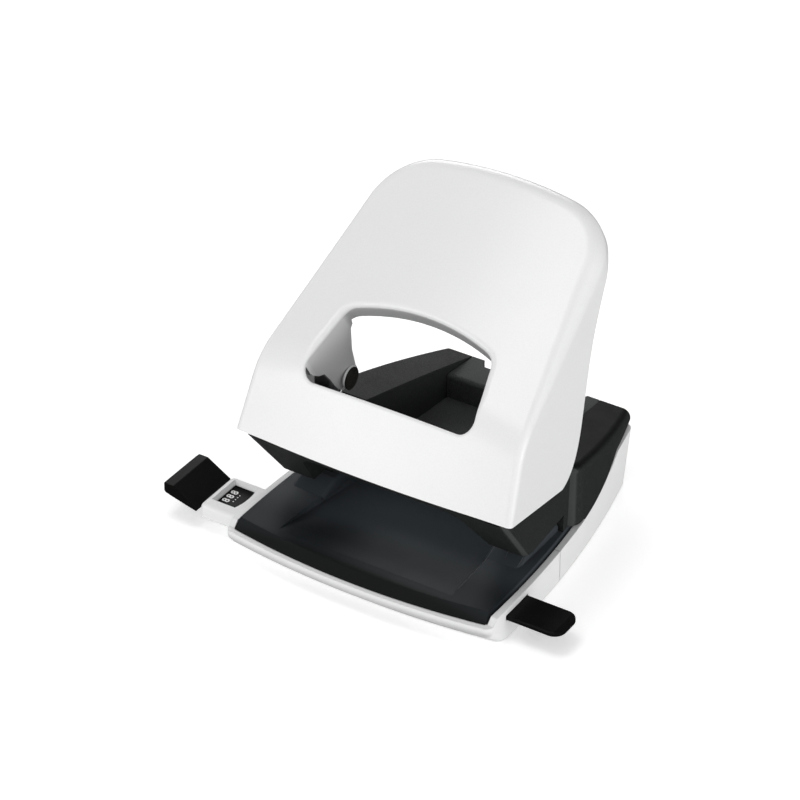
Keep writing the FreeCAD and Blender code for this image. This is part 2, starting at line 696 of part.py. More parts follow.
def chassis_side():
    """Side view: slanting front, ledge behind the beam, sloping top, rear lip, feet and paper throat."""
    back_y = CHASSIS_REAR_Y - BASE_WALL - INSET
    outline = beam_line(0.0) + [
        (WING_FRONT_Y + BEAM_DEPTH, WING_FRONT_Z + 0.4),
        (WING_FRONT_Y + BEAM_DEPTH + 2.0, top_plane_z(WING_FRONT_Y + BEAM_DEPTH + 2.0)),
        (CHASSIS_REAR_Y, CHASSIS_REAR_TOP_Z),
        (CHASSIS_REAR_Y, CHASSIS_LIP_Z),
        (back_y, CHASSIS_LIP_Z),
        (back_y - rear_lean(CHASSIS_FOOT_Z), CHASSIS_FOOT_Z),
        (PLATE_REAR_Y + WALL_GAP, CHASSIS_FOOT_Z),
        (PLATE_REAR_Y + WALL_GAP, PLATE_TOP_Z),
        (PAPER_STOP_Y, PLATE_TOP_Z),
        (PAPER_STOP_Y, CEILING_Z),
    ]
    return side_prism(outline)


def beside_feet(inset):
    """Space outside the tray's own outline below the rim, kept clear by the towers' feet."""
    zone = box(-FAR, FAR, PLATE_REAR_Y, FAR, -1, CHASSIS_LIP_Z)
    return zone.cut(base_body(INSET + inset, FOOT_H + BASE_FLOOR, CHASSIS_LIP_Z + 1))


def well_prism(grow, y0):
    """Space between the towers; its sides draw in towards the rear."""
    y1 = CHASSIS_REAR_Y + 5.0
    middle = (PAPER_STOP_Y + CHASSIS_REAR_Y) / 2
    bow = (WELL_HALF_FRONT + WELL_HALF_REAR) / 2 + WELL_BOW
    a = [Vector(WELL_HALF_FRONT + grow, PAPER_STOP_Y, -5), Vector(bow + grow, middle, -5),
         Vector(WELL_HALF_REAR + grow, y1, -5)]
    b = [Vector(-p.x, p.y, p.z) for p in a]
    wire = Part.Wire([arc3(*a), Part.makeLine(a[2], b[2]), arc3(b[2], b[1], b[0]), Part.makeLine(b[0], a[0])])
    prism = Part.Face(wire).extrude(Vector(0, 0, FAR))
    return prism.common(box(-FAR, FAR, y0, FAR, -FAR, FAR))


def on_top(edge):
    """True for the long edges that bound the sloping top."""
    bb = edge.BoundBox
    points = [v.Point for v in edge.Vertexes]
    level = all(abs(p.z - top_plane_z(p.y)) < 0.02 for p in points)
    return level and bb.YLength > 20.0 and abs(bb.XMin) > 5.0


def on_wing_corner(edge):
    """True for the slanting corner between a wing's front and its side."""
    bb = edge.BoundBox
    slanting = bb.ZMax < WING_FRONT_Z + 0.1 and bb.ZLength > 15.0
    outermost = min(abs(bb.XMin), abs(bb.XMax)) > LUG_X
    return slanting and outermost and bb.YMax < WING_TOE_Y + 0.5


def arch():
    """Opening under the front beam between the wings."""
    outline = [(-ARCH_FOOT_HALF, CEILING_Z - 1), (-ARCH_FOOT_HALF, CEILING_Z), (-BEAM_HALF, BEAM_LOW_Z),
               (BEAM_HALF, BEAM_LOW_Z), (ARCH_FOOT_HALF, CEILING_Z), (ARCH_FOOT_HALF, CEILING_Z - 1)]
    prism = front_prism(outline, -FAR, BAY_FRONT_Y)
    return rounded(prism, ARCH_CORNER_R,
                   lambda e: e.BoundBox.YLength > 10 and abs(e.BoundBox.ZMax - BEAM_LOW_Z) < 0.01)


def wing_pocket():
    """Hollow of the right wing ahead of the punch bay, with a wall on either side and at the front."""
    front = beam_line(CHASSIS_WALL * 1.28)
    bay = side_prism([front[0], front[1], (front[1][0], FAR), (PAPER_STOP_Y, FAR), (PAPER_STOP_Y, CEILING_Z)])
    bay = bay.common(box(0, FAR, -FAR, FAR, CEILING_Z + WING_FLOOR, FAR))
    outline = [(ARCH_FOOT_HALF + CHASSIS_WALL, CEILING_Z), (BEAM_HALF + CHASSIS_WALL, BEAM_LOW_Z),
               (BEAM_HALF + CHASSIS_WALL, FAR), (FAR, FAR), (FAR, CEILING_Z)]
    slope = front_prism(outline, -FAR, BAY_FRONT_Y + 0.01)
    open_bay = box(BAY_IN_X, FAR, BAY_FRONT_Y, FAR, -FAR, FAR)
    return bay.common(slope.fuse(open_bay)).common(chassis_block(CHASSIS_WALL))


def centre_cut():
    """Open space between the wings, from the back of the beam to the paper stop."""
    rear = beam_line(BEAM_DEPTH)
    outline = [rear[0], rear[1], (rear[1][0], FAR), (PAPER_STOP_Y, FAR), (PAPER_STOP_Y, CEILING_Z - 1),
               (rear[0][0], CEILING_Z - 1)]
    front = side_prism(outline, -BEAM_HALF, BEAM_HALF)
    bay = box(-BAY_IN_X, BAY_IN_X, BAY_FRONT_Y, PAPER_STOP_Y, CEILING_Z - 1, FAR)
    return front.fuse(bay)


def tower_hollow():
    """Inside of the right tower, open at the bottom."""
    skin = box(0, FAR, PAPER_STOP_Y + CHASSIS_WALL, CHASSIS_REAR_Y - CHASSIS_WALL - 1.2, -1, FAR)
    under = side_prism([(-FAR, -FAR), (FAR, -FAR), (FAR, top_plane_z(FAR, CHASSIS_WALL)),
                        (-FAR, top_plane_z(-FAR, CHASSIS_WALL))])
    rear = side_prism([(-FAR, -FAR), (CHASSIS_REAR_Y - 2 * BASE_WALL - INSET - BASE_REAR_LEAN, -FAR),
                       (CHASSIS_REAR_Y - 2 * BASE_WALL - INSET, CHASSIS_LIP_Z),
                       (CHASSIS_REAR_Y - 2 * BASE_WALL - INSET, FAR), (-FAR, FAR)])
    foot = chassis_block(CHASSIS_WALL).cut(beside_feet(CHASSIS_WALL))
    hollow = foot.fuse(above_rim(tower_plan(CHASSIS_WALL), WALL_GAP + CHASSIS_WALL))
    return hollow.common(skin).common(under).common(rear).cut(well_prism(CHASSIS_WALL, -FAR))


def tower_plan(inset):
    """Plan of the towers above the rim: bowed sides flush with the white wall, round front corners."""
    front, mid, rear = [half - inset for half in (TOWER_HALF_FRONT, TOWER_HALF_MID, TOWER_HALF_REAR)]
    y0 = TOWER_FRONT_Y + inset
    y1 = CHASSIS_REAR_Y - inset
    middle = (TOWER_FRONT_Y + CHASSIS_REAR_Y) / 2
    right = arc3(Vector(front, y0, 0), Vector(mid, middle, 0), Vector(rear, y1, 0))
    left = arc3(Vector(-rear, y1, 0), Vector(-mid, middle, 0), Vector(-front, y0, 0))
    wire = Part.Wire([right, Part.makeLine(Vector(rear, y1, 0), Vector(-rear, y1, 0)), left,
                      Part.makeLine(Vector(-front, y0, 0), Vector(front, y0, 0))])
    prism = Part.Face(wire).extrude(Vector(0, 0, CHASSIS_TALL))
    return rounded(prism, TOWER_CORNER_R - inset, lambda e: upright(e) and e.BoundBox.YMax < y0 + 0.01)


def above_rim(shape, gap):
    """What stands clear of the white wall's swept rim by a gap."""
    rim = rim_profile()
    rim.translate(Vector(0, 0, gap))
    return shape.cut(rim)


def tower_tops():
    """Upper part of both towers, which lies over the white wall, with a soft outer edge."""
    tops = above_rim(tower_plan(0.0), WALL_GAP).common(chassis_side())

    def outer(edge):
        ends = [vertex.Point for vertex in edge.Vertexes]
        level = all(abs(p.z - top_plane_z(p.y)) < 0.02 for p in ends)
        return level and edge.BoundBox.YLength > 1.0

    return rounded(tops, TOWER_EDGE_R, outer)


def chassis_frame():
    """Die-cast chassis: front beam, two wings over the throat and two towers, in one piece."""
    part = rounded(chassis_block().common(chassis_side()), CHASSIS_TOP_EDGE_R, on_top)
    part = rounded(part, WING_CORNER_R, on_wing_corner)
    part = part.cut(beside_feet(0.0)).fuse(tower_tops()).cut(arch()).cut(centre_cut())
    floor = CEILING_Z + WING_FLOOR
    hub = z_rod(PUNCH_X, PUNCH_Y, CEILING_Z, GUIDE_TOP_Z, GUIDE_FLANGE_DIA + 1.0)
    part = part.cut(both(wing_pocket())).fuse(both(hub))
    part = part.cut(both(tower_hollow()))
    part = part.cut(well_space())
    boss_r = BOSS_DIA / 2
    for x, y in chassis_screw_places():
        pillar = box(x - boss_r, x + boss_r, PAPER_STOP_Y + 1, PLATE_REAR_Y - 1, PLATE_TOP_Z, floor)
        part = part.fuse(pillar)
    for x, y in chassis_screw_places():
        part = part.cut(z_rod(x, y, 0, PLATE_TOP_Z + SCREW_LEN, SCREW_DIA))
    part = part.cut(both(z_rod(PUNCH_X, PUNCH_Y, 0, GUIDE_TOP_Z + 1, GUIDE_DIA)))
    return part.cut(x_rod(-HINGE_HALF, HINGE_HALF, HINGE_Y, HINGE_Z, HINGE_DIA))


def well_space():
    """Everything above the cross wall and the rear sill between the towers."""
    well = well_prism(0.0, PAPER_STOP_Y + CHASSIS_WALL)
    sill_y = CHASSIS_REAR_Y - BASE_WALL - INSET
    low = box(-FAR, FAR, -FAR, sill_y - 2 * CHASSIS_WALL, -1, FAR)
    high = box(-FAR, FAR, -FAR, FAR, CHASSIS_REAR_TOP_Z - WELL_T, FAR)
    crest = box(-WELL_HALF_FRONT, WELL_HALF_FRONT, PAPER_STOP_Y - 1, PAPER_STOP_Y + CHASSIS_WALL + 0.01,
                WELL_FRONT_TOP_Z, FAR)
    return well.common(low.fuse(high)).fuse(crest).fuse(notch(CHASSIS_LIP_Z - 1))


def notch(z0):
    """Slanted notch for a fingertip at the rear edge of the deck."""
    y0 = CHASSIS_REAR_Y - NOTCH_DEPTH
    outline = [(-NOTCH_HALF - NOTCH_CORNER, CHASSIS_REAR_Y + 1), (-NOTCH_HALF, y0), (NOTCH_HALF, y0),
               (NOTCH_HALF + NOTCH_CORNER, CHASSIS_REAR_Y + 1)]
    return plan_prism(outline, z0, FAR)


# ---------------------------------------------------------------- rear well
def rear_well():
    """Moulded insert between the towers: sunken floor, front and rear walls and a deck."""
    front = PAPER_STOP_Y + CHASSIS_WALL
    wall = WELL_T
    top = CHASSIS_REAR_TOP_Z
    outline = [
        (front, WELL_FLOOR_Z - wall),
        (DECK_FRONT_Y + wall, WELL_FLOOR_Z - wall),
        (DECK_FRONT_Y + wall, top - wall),
        (CHASSIS_REAR_Y, top - wall),
        (CHASSIS_REAR_Y, top),
        (DECK_FRONT_Y, top),
        (DECK_FRONT_Y, WELL_FLOOR_Z),
        (front + wall, WELL_FLOOR_Z),
        (front + wall, WELL_FRONT_TOP_Z - PART_GAP),
        (front, WELL_FRONT_TOP_Z - PART_GAP),
    ]
    part = side_prism(outline)
    part = rounded(part, DECK_EDGE_R,
                   lambda e: e.BoundBox.XLength > 100 and abs(e.BoundBox.YMin - DECK_FRONT_Y) < 0.01
                   and e.BoundBox.ZMin > top - 0.01)
    return part.common(well_prism(-PART_GAP, front)).cut(notch(0))


# ---------------------------------------------------------------- handle
PANEL_COS = math.cos(math.radians(PANEL_ANGLE))
PANEL_SIN = math.sin(math.radians(PANEL_ANGLE))
PANEL_POINT = Vector(0, PANEL_Y, PANEL_Z)
ALONG = Vector(0, PANEL_COS, PANEL_SIN)
NORMAL = Vector(0, -PANEL_SIN, PANEL_COS)
PANEL_V = PANEL_Y * PANEL_COS + PANEL_Z * PANEL_SIN


def panel_point(x, v, n):
    """Point at a side offset, a run up the panel and a height above the panel's middle line."""
    return PANEL_POINT + Vector(x, 0, 0) + ALONG * (v - PANEL_V) + NORMAL * n


def panel_run(point):
    """Run up the panel at which a point lies."""
    return (point - PANEL_POINT).dot(ALONG) + PANEL_V


def panel_prism(edges, below, above):
    """Extrude a closed outline drawn in the panel plane along the panel's normal."""
    face = Part.Face(Part.Wire(edges))
    face.translate(NORMAL * -below)
    return face.extrude(NORMAL * (below + above))


def panel_polygon(points):
    """Straight edges through (x, v) points in the panel plane."""
    corners = [panel_point(x, v, 0) for x, v in points]
    return [Part.makeLine(a, b) for a, b in zip(corners, corners[1:] + corners[:1])]


def section(x, depth):
    """Closed side section of the handle at a station: steep lip, knee and upper panel, set in by a depth."""
    lip_back = x * x / (2 * LIP_CROWN_R)
    top_back = x * x / (2 * CROWN_R)
    lip_dir = Vector(0, math.cos(math.radians(LIP_ANGLE)), math.sin(math.radians(LIP_ANGLE)))
    lip_in = Vector(0, lip_dir.z, -lip_dir.y)
    lip = Vector(x, LIP_Y + lip_back, LIP_Z) + lip_in * depth
    top = PANEL_POINT + Vector(x, 0, 0) - NORMAL * (top_back + depth)
    gap = top - lip
    cross = lip_dir.y * ALONG.z - lip_dir.z * ALONG.y
    knee = lip + lip_dir * ((gap.y * ALONG.z - gap.z * ALONG.y) / cross)
    half_turn = math.radians(LIP_ANGLE - PANEL_ANGLE) / 2
    tangent = (KNEE_R - depth) * math.tan(half_turn)
    start = knee - lip_dir * tangent
    end = knee + ALONG * tangent
    bisector = (ALONG - lip_dir).normalize()
    middle = knee + bisector * ((KNEE_R - depth) * (1 / math.cos(half_turn) - 1))
    foot = lip - lip_dir * LIP_RUNOUT
    crest = top + ALONG * PANEL_RUNOUT
    low = foot + Vector(0, LIP_RUNOUT * 6, -LIP_RUNOUT)
    far = crest - NORMAL * PANEL_RUNOUT
    return Part.Wire([Part.makeLine(foot, start), arc3(start, middle, end), Part.makeLine(end, crest),
                      Part.makeLine(crest, far), Part.makeLine(far, low), Part.makeLine(low, foot)])


def crowned_block(depth):
    """Everything under the crowned front and top surface of the handle, set in by a depth."""
    reach = HANDLE_HALF + LOFT_MARGIN
    return Part.makeLoft([section(reach * step / 2, depth) for step in range(-2, 3)], True, False)


def handle_half(v):
    """Half width of the handle at a run up the panel."""
    return HANDLE_HALF - HANDLE_TAPER * v


def handle_outline(inset):
    """Outline prism of the handle along the panel's normal, with its arched top and round corners."""
    low_v = OUTLINE_LOW_V
    low = handle_half(low_v) - inset
    high = handle_half(HANDLE_TOP_V) - inset
    top_v = HANDLE_TOP_V - inset
    left_low = panel_point(-low, low_v, 0)
    left_high = panel_point(-high, top_v - HANDLE_TOP_SAG, 0)
    right_high = panel_point(high, top_v - HANDLE_TOP_SAG, 0)
    right_low = panel_point(low, low_v, 0)
    edges = [Part.makeLine(right_low, left_low), Part.makeLine(left_low, left_high),
             arc3(left_high, panel_point(0, top_v, 0), right_high), Part.makeLine(right_high, right_low)]
    prism = panel_prism(edges, PANEL_RUNOUT, SKY_RUNOUT)
    corner = top_v - HANDLE_TOP_SAG

    def at_corner(edge):
        ends = [vertex.Point for vertex in edge.Vertexes]
        if len(ends) < 2 or abs((ends[1] - ends[0]).normalize().dot(NORMAL)) < 0.99:
            return False
        return abs(panel_run(ends[0]) - corner) < 1.0

    return rounded(prism, HANDLE_CORNER_R - inset, at_corner)


def handle_solid(inset):
    """Crowned block inside the outline, with the bent edge all round rolled over."""
    solid = crowned_block(inset).common(handle_outline(inset))

    def bend_radius(point):
        share = (panel_run(point) - BEND_LIP_V) / (BEND_TOP_V - BEND_LIP_V)
        return BEND_LIP_R + (BEND_TOP_R - BEND_LIP_R) * min(1.0, max(0.0, share)) - inset

    return blended(solid, lambda e: is_bend(e, inset), bend_radius)


def is_bend(edge, inset):
    """True for the edges where the crowned surface meets the side walls or the arched top."""
    middle = edge.valueAt((edge.FirstParameter + edge.LastParameter) / 2)
    crown = Part.Wire(section(middle.x, inset).Edges[:3])
    lies_on_crown = Part.Vertex(middle).distToShape(crown)[0] < 0.25
    return lies_on_crown and edge.BoundBox.XLength < HANDLE_HALF


def flange_keep():
    """Side view of what the flanges keep: level front, long lower edge, swept rear, even rim."""
    rim = [panel_point(-FAR, v, -RIM_DEPTH - RIM_CROWN_DROP) for v in (RIM_START_V, HANDLE_TOP_V + 40)]
    foot = Vector(-FAR, FLANGE_FOOT_Y, FLANGE_FOOT_Z)
    corner = [Vector(-FAR, FLANGE_FRONT_Y, LIP_Z), Vector(-FAR, FLANGE_FRONT_Y + 1.5, LIP_Z - 0.5), foot]
    sweep = [Vector(-FAR, y, z) for y, z in FLANGE_SWEEP] + [rim[0]]
    curve = Part.BSplineCurve()
    curve.interpolate([foot] + sweep)
    sky = [Vector(-FAR, FAR, FAR), Vector(-FAR, -FAR, FAR), Vector(-FAR, -FAR, LIP_Z)]
    path = [rim[0], rim[1]] + sky + corner
    edges = [Part.makeLine(a, b) for a, b in zip(path, path[1:])] + [curve.toShape()]
    return Part.Face(Part.Wire(Part.__sortEdges__(edges))).extrude(Vector(2 * FAR, 0, 0))


def window_half(v):
    """Half width of the window at a run up the panel."""
    share = (v - WINDOW_LOW_V) / (WINDOW_HIGH_V - WINDOW_ARCH - WINDOW_LOW_V)
    return WINDOW_HALF_LOW + (WINDOW_HALF_HIGH - WINDOW_HALF_LOW) * share


def window_prism(grow, below, above):
    """Window outline prism: straight bottom, tapering sides, arched top, round corners."""
    low_v = WINDOW_LOW_V - grow
    high_v = WINDOW_HIGH_V + grow
    low = window_half(low_v) + grow
    side_v = high_v - WINDOW_ARCH
    high = window_half(side_v) + grow
    outline = [(high, side_v), (low, low_v), (-low, low_v), (-high, side_v)]
    corners = [panel_point(x, v, 0) for x, v in outline]
    edges = [Part.makeLine(a, b) for a, b in zip(corners, corners[1:])]
    edges.append(arc3(corners[3], panel_point(0, high_v, 0), corners[0]))
    prism = panel_prism(edges, below, above)

    def corner(edge, v):
        ends = [vertex.Point for vertex in edge.Vertexes]
        if abs((ends[1] - ends[0]).normalize().dot(NORMAL)) < 0.99:
            return False
        return abs(panel_run(ends[0]) - v) < 0.5

    prism = rounded(prism, WINDOW_LOW_R + grow, lambda e: corner(e, low_v))
    return rounded(prism, WINDOW_HIGH_R + grow, lambda e: corner(e, side_v))


def window_flange(under_panel):
    """Short return flange round the sides and top of the window."""
    ring = window_prism(SHEET_T, WINDOW_REACH, 0).cut(window_prism(0, WINDOW_REACH + 1, 1))
    lower = panel_polygon([(-FAR, -FAR), (FAR, -FAR), (FAR, WINDOW_FLANGE_V), (-FAR, WINDOW_FLANGE_V)])
    ring = ring.cut(panel_prism(lower, FAR, FAR))
    return ring.common(under_panel).cut(crowned_block(SHEET_T + WINDOW_FLANGE))


def on_window_edge(edge):
    """True for the edges where the crowned surface meets the window's walls."""
    middle = edge.valueAt((edge.FirstParameter + edge.LastParameter) / 2)
    v = panel_run(middle)
    in_plan = abs(middle.x) < WINDOW_HALF_LOW + 1.0 and WINDOW_LOW_V - 1.0 < v < WINDOW_HIGH_V + 1.0
    return in_plan and Part.Vertex(middle).distToShape(Part.Wire(section(middle.x, 0.0).Edges[:3]))[0] < 0.05


def window_edge_radius(point):
    """The sill has a small round; the flanged sides and top have a full bend."""
    share = (panel_run(point) - WINDOW_FLANGE_V) / (WINDOW_EDGE_V - WINDOW_FLANGE_V)
    return WINDOW_SILL_R + (WINDOW_EDGE_R - WINDOW_SILL_R) * min(1.0, max(0.0, share))


def ear(under_panel):
    """Right ear: a strip bent down from the window's side, widening into the panel, round at the pin."""
    slab = window_prism(SHEET_T, EAR_REACH, 0).cut(window_prism(0, EAR_REACH + 1, 1))
    slab = slab.common(box(0, FAR, -FAR, FAR, -FAR, FAR))
    pin = Vector(0, CROSS_PIN_Y, CROSS_PIN_Z)
    outline = [pin + ALONG * a + NORMAL * b for a, b in EAR_OUTLINE]
    face = Part.Face(Part.makePolygon(outline + outline[:1]))
    blade = face.extrude(Vector(FAR, 0, 0))
    tip = x_rod(0, FAR, CROSS_PIN_Y, CROSS_PIN_Z, 2 * EAR_TIP_R)
    side = slab.common(blade.fuse(tip))
    return side.common(under_panel)


def handle_lug(under_panel):
    """Right hinge lug: a ring round the hinge rod on a web welded behind the steep lip."""
    ring = x_rod(LUG_X, LUG_X + LUG_T, HINGE_Y, HINGE_Z, 2 * LUG_R)
    outline = [(HINGE_Y - LUG_R, HINGE_Z), (HINGE_Y + LUG_R, HINGE_Z), (HINGE_Y + LUG_R - 1, HINGE_Z + 12),
               (HINGE_Y + 2, HINGE_Z + 26), (HINGE_Y - 14, HINGE_Z + 12)]
    web = side_prism(outline, LUG_X, LUG_X + LUG_T)
    return ring.fuse(web.common(under_panel))


def handle_shell():
    """Pressed sheet handle: steep lip, knee, crowned upper panel, bent flanges, window and two ears."""
    under_panel = handle_solid(SHEET_T)
    part = handle_solid(0.0).cut(under_panel).common(flange_keep())
    part = part.cut(window_prism(0, WINDOW_REACH, WINDOW_REACH))
    part = part.fuse(window_flange(under_panel))
    part = part.fuse(both(ear(under_panel)))
    part = blended(part, on_window_edge, window_edge_radius)
    part = part.fuse(both(handle_lug(under_panel)))
    part = part.cut(x_rod(-PUNCH_X, PUNCH_X, CROSS_PIN_Y, CROSS_PIN_Z, CROSS_PIN_DIA))
    return part.cut(x_rod(-HINGE_HALF, HINGE_HALF, HINGE_Y, HINGE_Z, HINGE_DIA + 2 * RUN_FIT))


# ---------------------------------------------------------------- hinge rod and punch units
def handle_hinge_rod():
    """Plain rod through the wings and the handle's lugs."""
    return x_rod(-HINGE_HALF, HINGE_HALF, HINGE_Y, HINGE_Z, HINGE_DIA)


def cross_pin():
    """Right cross pin: a headed pin from the ear through the yoke of the punch."""
    head = x_rod(CROSS_HEAD_X - CROSS_HEAD_H, CROSS_HEAD_X, CROSS_PIN_Y, CROSS_PIN_Z, CROSS_HEAD_DIA)
    rim = [edge for edge in head.Edges if edge.BoundBox.XMax < CROSS_HEAD_X - CROSS_HEAD_H + 0.01]
    head = head.makeChamfer(CROSS_HEAD_H * 0.4, rim)
    return head.fuse(x_rod(CROSS_HEAD_X, CROSS_END_X, CROSS_PIN_Y, CROSS_PIN_Z, CROSS_PIN_DIA))


def punch_pin():
    """Right punch: hollow-ground pin whose yoke has a long slot for the cross pin."""
    half = YOKE_T / 2
    slot_r = CROSS_PIN_DIA / 2 + SLOT_PLAY
    slot_y0 = CROSS_PIN_Y - slot_r
    slot_y1 = CROSS_PIN_Y + YOKE_RUN + slot_r
    low = yoke_low_z()
    yoke = box(PUNCH_X - half, PUNCH_X + half, slot_y0 - YOKE_WALL, slot_y1 + YOKE_WALL, low,
               CROSS_PIN_Z + slot_r + YOKE_WALL)
    yoke = rounded(yoke, 1.5, lambda e: e.BoundBox.XLength > YOKE_T - 0.1)
    slot = x_rod(PUNCH_X - half - 1, PUNCH_X + half + 1, slot_y0 + slot_r, CROSS_PIN_Z, 2 * slot_r)
    slot = slot.fuse(x_rod(PUNCH_X - half - 1, PUNCH_X + half + 1, slot_y1 - slot_r, CROSS_PIN_Z, 2 * slot_r))
    slot = slot.fuse(box(PUNCH_X - half - 1, PUNCH_X + half + 1, slot_y0 + slot_r, slot_y1 - slot_r,
                         CROSS_PIN_Z - slot_r, CROSS_PIN_Z + slot_r))
    stem = z_rod(PUNCH_X, PUNCH_Y, PUNCH_TIP_Z, low + 0.5, PUNCH_DIA)
    tip = Vector(PUNCH_X, PUNCH_Y, PUNCH_TIP_Z - 0.01)
    grind = Part.makeCone(PUNCH_DIA * 0.35, 0.05, PUNCH_DIA * 0.4, tip)
    return yoke.cut(slot).fuse(stem).cut(grind)


def yoke_low_z():
    """Underside of the yoke, which presses on the spring washer."""
    return CROSS_PIN_Z - CROSS_PIN_DIA / 2 - SLOT_PLAY - YOKE_WALL


def punch_guide():
    """Flanged bush pressed into the right hub of the chassis."""
    bush = z_rod(PUNCH_X, PUNCH_Y, CEILING_Z, GUIDE_TOP_Z, GUIDE_DIA)
    flange = z_rod(PUNCH_X, PUNCH_Y, GUIDE_TOP_Z, GUIDE_TOP_Z + GUIDE_FLANGE_H, GUIDE_FLANGE_DIA)
    return bush.fuse(flange).cut(z_rod(PUNCH_X, PUNCH_Y, 0, FAR, PUNCH_DIA + 2 * RUN_FIT))


def spring_washer():
    """Washer between the return spring and the right yoke."""
    washer = z_rod(PUNCH_X, PUNCH_Y, yoke_low_z() - WASHER_H, yoke_low_z(), WASHER_DIA)
    return washer.cut(z_rod(PUNCH_X, PUNCH_Y, 0, FAR, PUNCH_DIA + 2 * RUN_FIT))


def punch_spring():
    """Return spring round the right punch, between the guide's flange and the washer."""
    low = GUIDE_TOP_Z + GUIDE_FLANGE_H + SPRING_WIRE / 2
    high = yoke_low_z() - WASHER_H - SPRING_WIRE / 2
    steps = SPRING_COILS * SPRING_STEPS
    step_turn = 2 * math.pi / SPRING_STEPS
    rings = [wire_ring(step_turn * k, low + (high - low) * k / steps) for k in range(steps + 1)]
    return Part.makeLoft(rings, True, True)


def wire_ring(turn, z):
    """Cross section of the spring's wire at a turn round the right punch and a height."""
    out = Vector(math.cos(turn), math.sin(turn), 0)
    middle = Vector(PUNCH_X, PUNCH_Y, z) + out * ((SPRING_DIA - SPRING_WIRE) / 2)
    angles = [2 * math.pi * k / SPRING_SIDES for k in range(SPRING_SIDES)]
    wire_r = SPRING_WIRE / 2
    points = [middle + out * (wire_r * math.cos(a)) + Vector(0, 0, wire_r * math.sin(a)) for a in angles]
    return Part.makePolygon(points + points[:1])


# ---------------------------------------------------------------- paper guide
def guide_bar():
    """Flat bar with an upturned end stop at the left."""
    half = BAR_W / 2
    start_x = STOP_OUT_X + STOP_LIP + STOP_RAMP
    bar = box(start_x, BAR_END_X, BAR_Y - half, BAR_Y + half, BAR_TOP_Z - BAR_T, BAR_TOP_Z)
    bar = rounded(bar, BAR_END_R, lambda e: upright(e) and e.BoundBox.XMax > BAR_END_X - 0.01)
    bar = rounded(bar, BAR_EDGE, lambda e: e.BoundBox.ZMin > BAR_TOP_Z - 0.01 and e.BoundBox.XMax > 0)
    bar = bar.cut(tip_bevel())
    top = BAR_TOP_Z
    x0 = STOP_OUT_X
    x1 = x0 + STOP_LIP
    x2 = x1 + STOP_RAMP
    face_low = STOP_TOP_Z - STOP_BROW - STOP_FACE_H
    belly = arc3(Vector(x2, 0, top - BAR_T), Vector(x1 + STOP_BROW, 0, STOP_BELLY_Z), Vector(x0, 0, face_low))
    edges = [
        Part.makeLine(Vector(x0, 0, face_low), Vector(x0, 0, STOP_TOP_Z - STOP_BROW)),
        Part.makeLine(Vector(x0, 0, STOP_TOP_Z - STOP_BROW), Vector(x0 + STOP_BROW, 0, STOP_TOP_Z)),
        Part.makeLine(Vector(x0 + STOP_BROW, 0, STOP_TOP_Z), Vector(x1, 0, STOP_TOP_Z)),
        Part.makeLine(Vector(x1, 0, STOP_TOP_Z), Vector(x2, 0, top)),
        Part.makeLine(Vector(x2, 0, top), Vector(x2, 0, top - BAR_T)),
        belly,
    ]
    stop = Part.Face(Part.Wire(edges)).extrude(Vector(0, STOP_W, 0))
    stop.translate(Vector(0, STOP_Y - STOP_W / 2, 0))
    stop = rounded(stop, STOP_CORNER_R, lambda e: abs(e.BoundBox.XMin - x0) < 0.01 and e.BoundBox.ZLength > 2
                   and e.BoundBox.YLength < 0.01 and e.BoundBox.XLength < 0.01)
    return stop.fuse(bar)


def tip_bevel():
    """Wedge that slopes the top of the bar down to its right end."""
    x0 = BAR_END_X - BAR_TIP_RUN
    wedge = [(x0, BAR_TOP_Z), (BAR_END_X, BAR_TOP_Z - BAR_TIP_DROP), (BAR_END_X, BAR_TOP_Z + 1),
             (x0, BAR_TOP_Z + 1)]
    return front_prism(wedge, -FAR, FAR)


def bar_click_spring():
    """Leaf spring on the floor that rubs on the underside of the bar."""
    low = FOOT_H + BASE_FLOOR
    high = BAR_TOP_Z - BAR_T - PART_GAP
    rise = high - low - LEAF_T
    outer = arc3(Vector(-LEAF_HALF, 0, low), Vector(0, 0, high), Vector(LEAF_HALF, 0, low))
    inner_half = LEAF_HALF - 2 * LEAF_T
    inner = arc3(Vector(inner_half, 0, low), Vector(0, 0, low + rise), Vector(-inner_half, 0, low))
    ends = [Part.makeLine(Vector(LEAF_HALF, 0, low), Vector(inner_half, 0, low)),
            Part.makeLine(Vector(-inner_half, 0, low), Vector(-LEAF_HALF, 0, low))]
    leaf = Part.Face(Part.Wire([outer, ends[0], inner, ends[1]])).extrude(Vector(0, LEAF_W, 0))
    leaf.translate(Vector(0, BAR_Y - LEAF_W / 2, 0))
    return leaf


# ---------------------------------------------------------------- screws and pads
def screw_up(x, y, head_z, tip_z):
    """Pan-head screw pointing up from its head."""
    head = z_rod(x, y, head_z, head_z + SCREW_HEAD_H, SCREW_HEAD_DIA)
    slot = box(x - SCREW_HEAD_DIA, x + SCREW_HEAD_DIA, y - 0.4, y + 0.4, head_z - 0.1, head_z + 0.5)
    return head.cut(slot).fuse(z_rod(x, y, head_z + SCREW_HEAD_H, tip_z, SCREW_DIA))


def base_screws():
    """Screws up through the floor bosses into the base plate."""
    return [screw_up(x, y, FOOT_H, plate_under(x, y) + NUT_BLIND) for x, y in boss_places()]


def plate_screws():
    """Screws up through the base plate into the chassis."""
    screws = []
    for x, y in chassis_screw_places():
        under = plate_under(x, y)
        screws.append(screw_up(x, y, under - SCREW_HEAD_H, under + PLATE_T + SCREW_LEN))
    return screws


def front_feet():
    """Soft pads let into the underside of the front base, standing proud by the foot height."""
    return [z_rod(x, y, 0, FOOT_H + PAD_RECESS, PAD_DIA) for x, y in front_pad_places()]


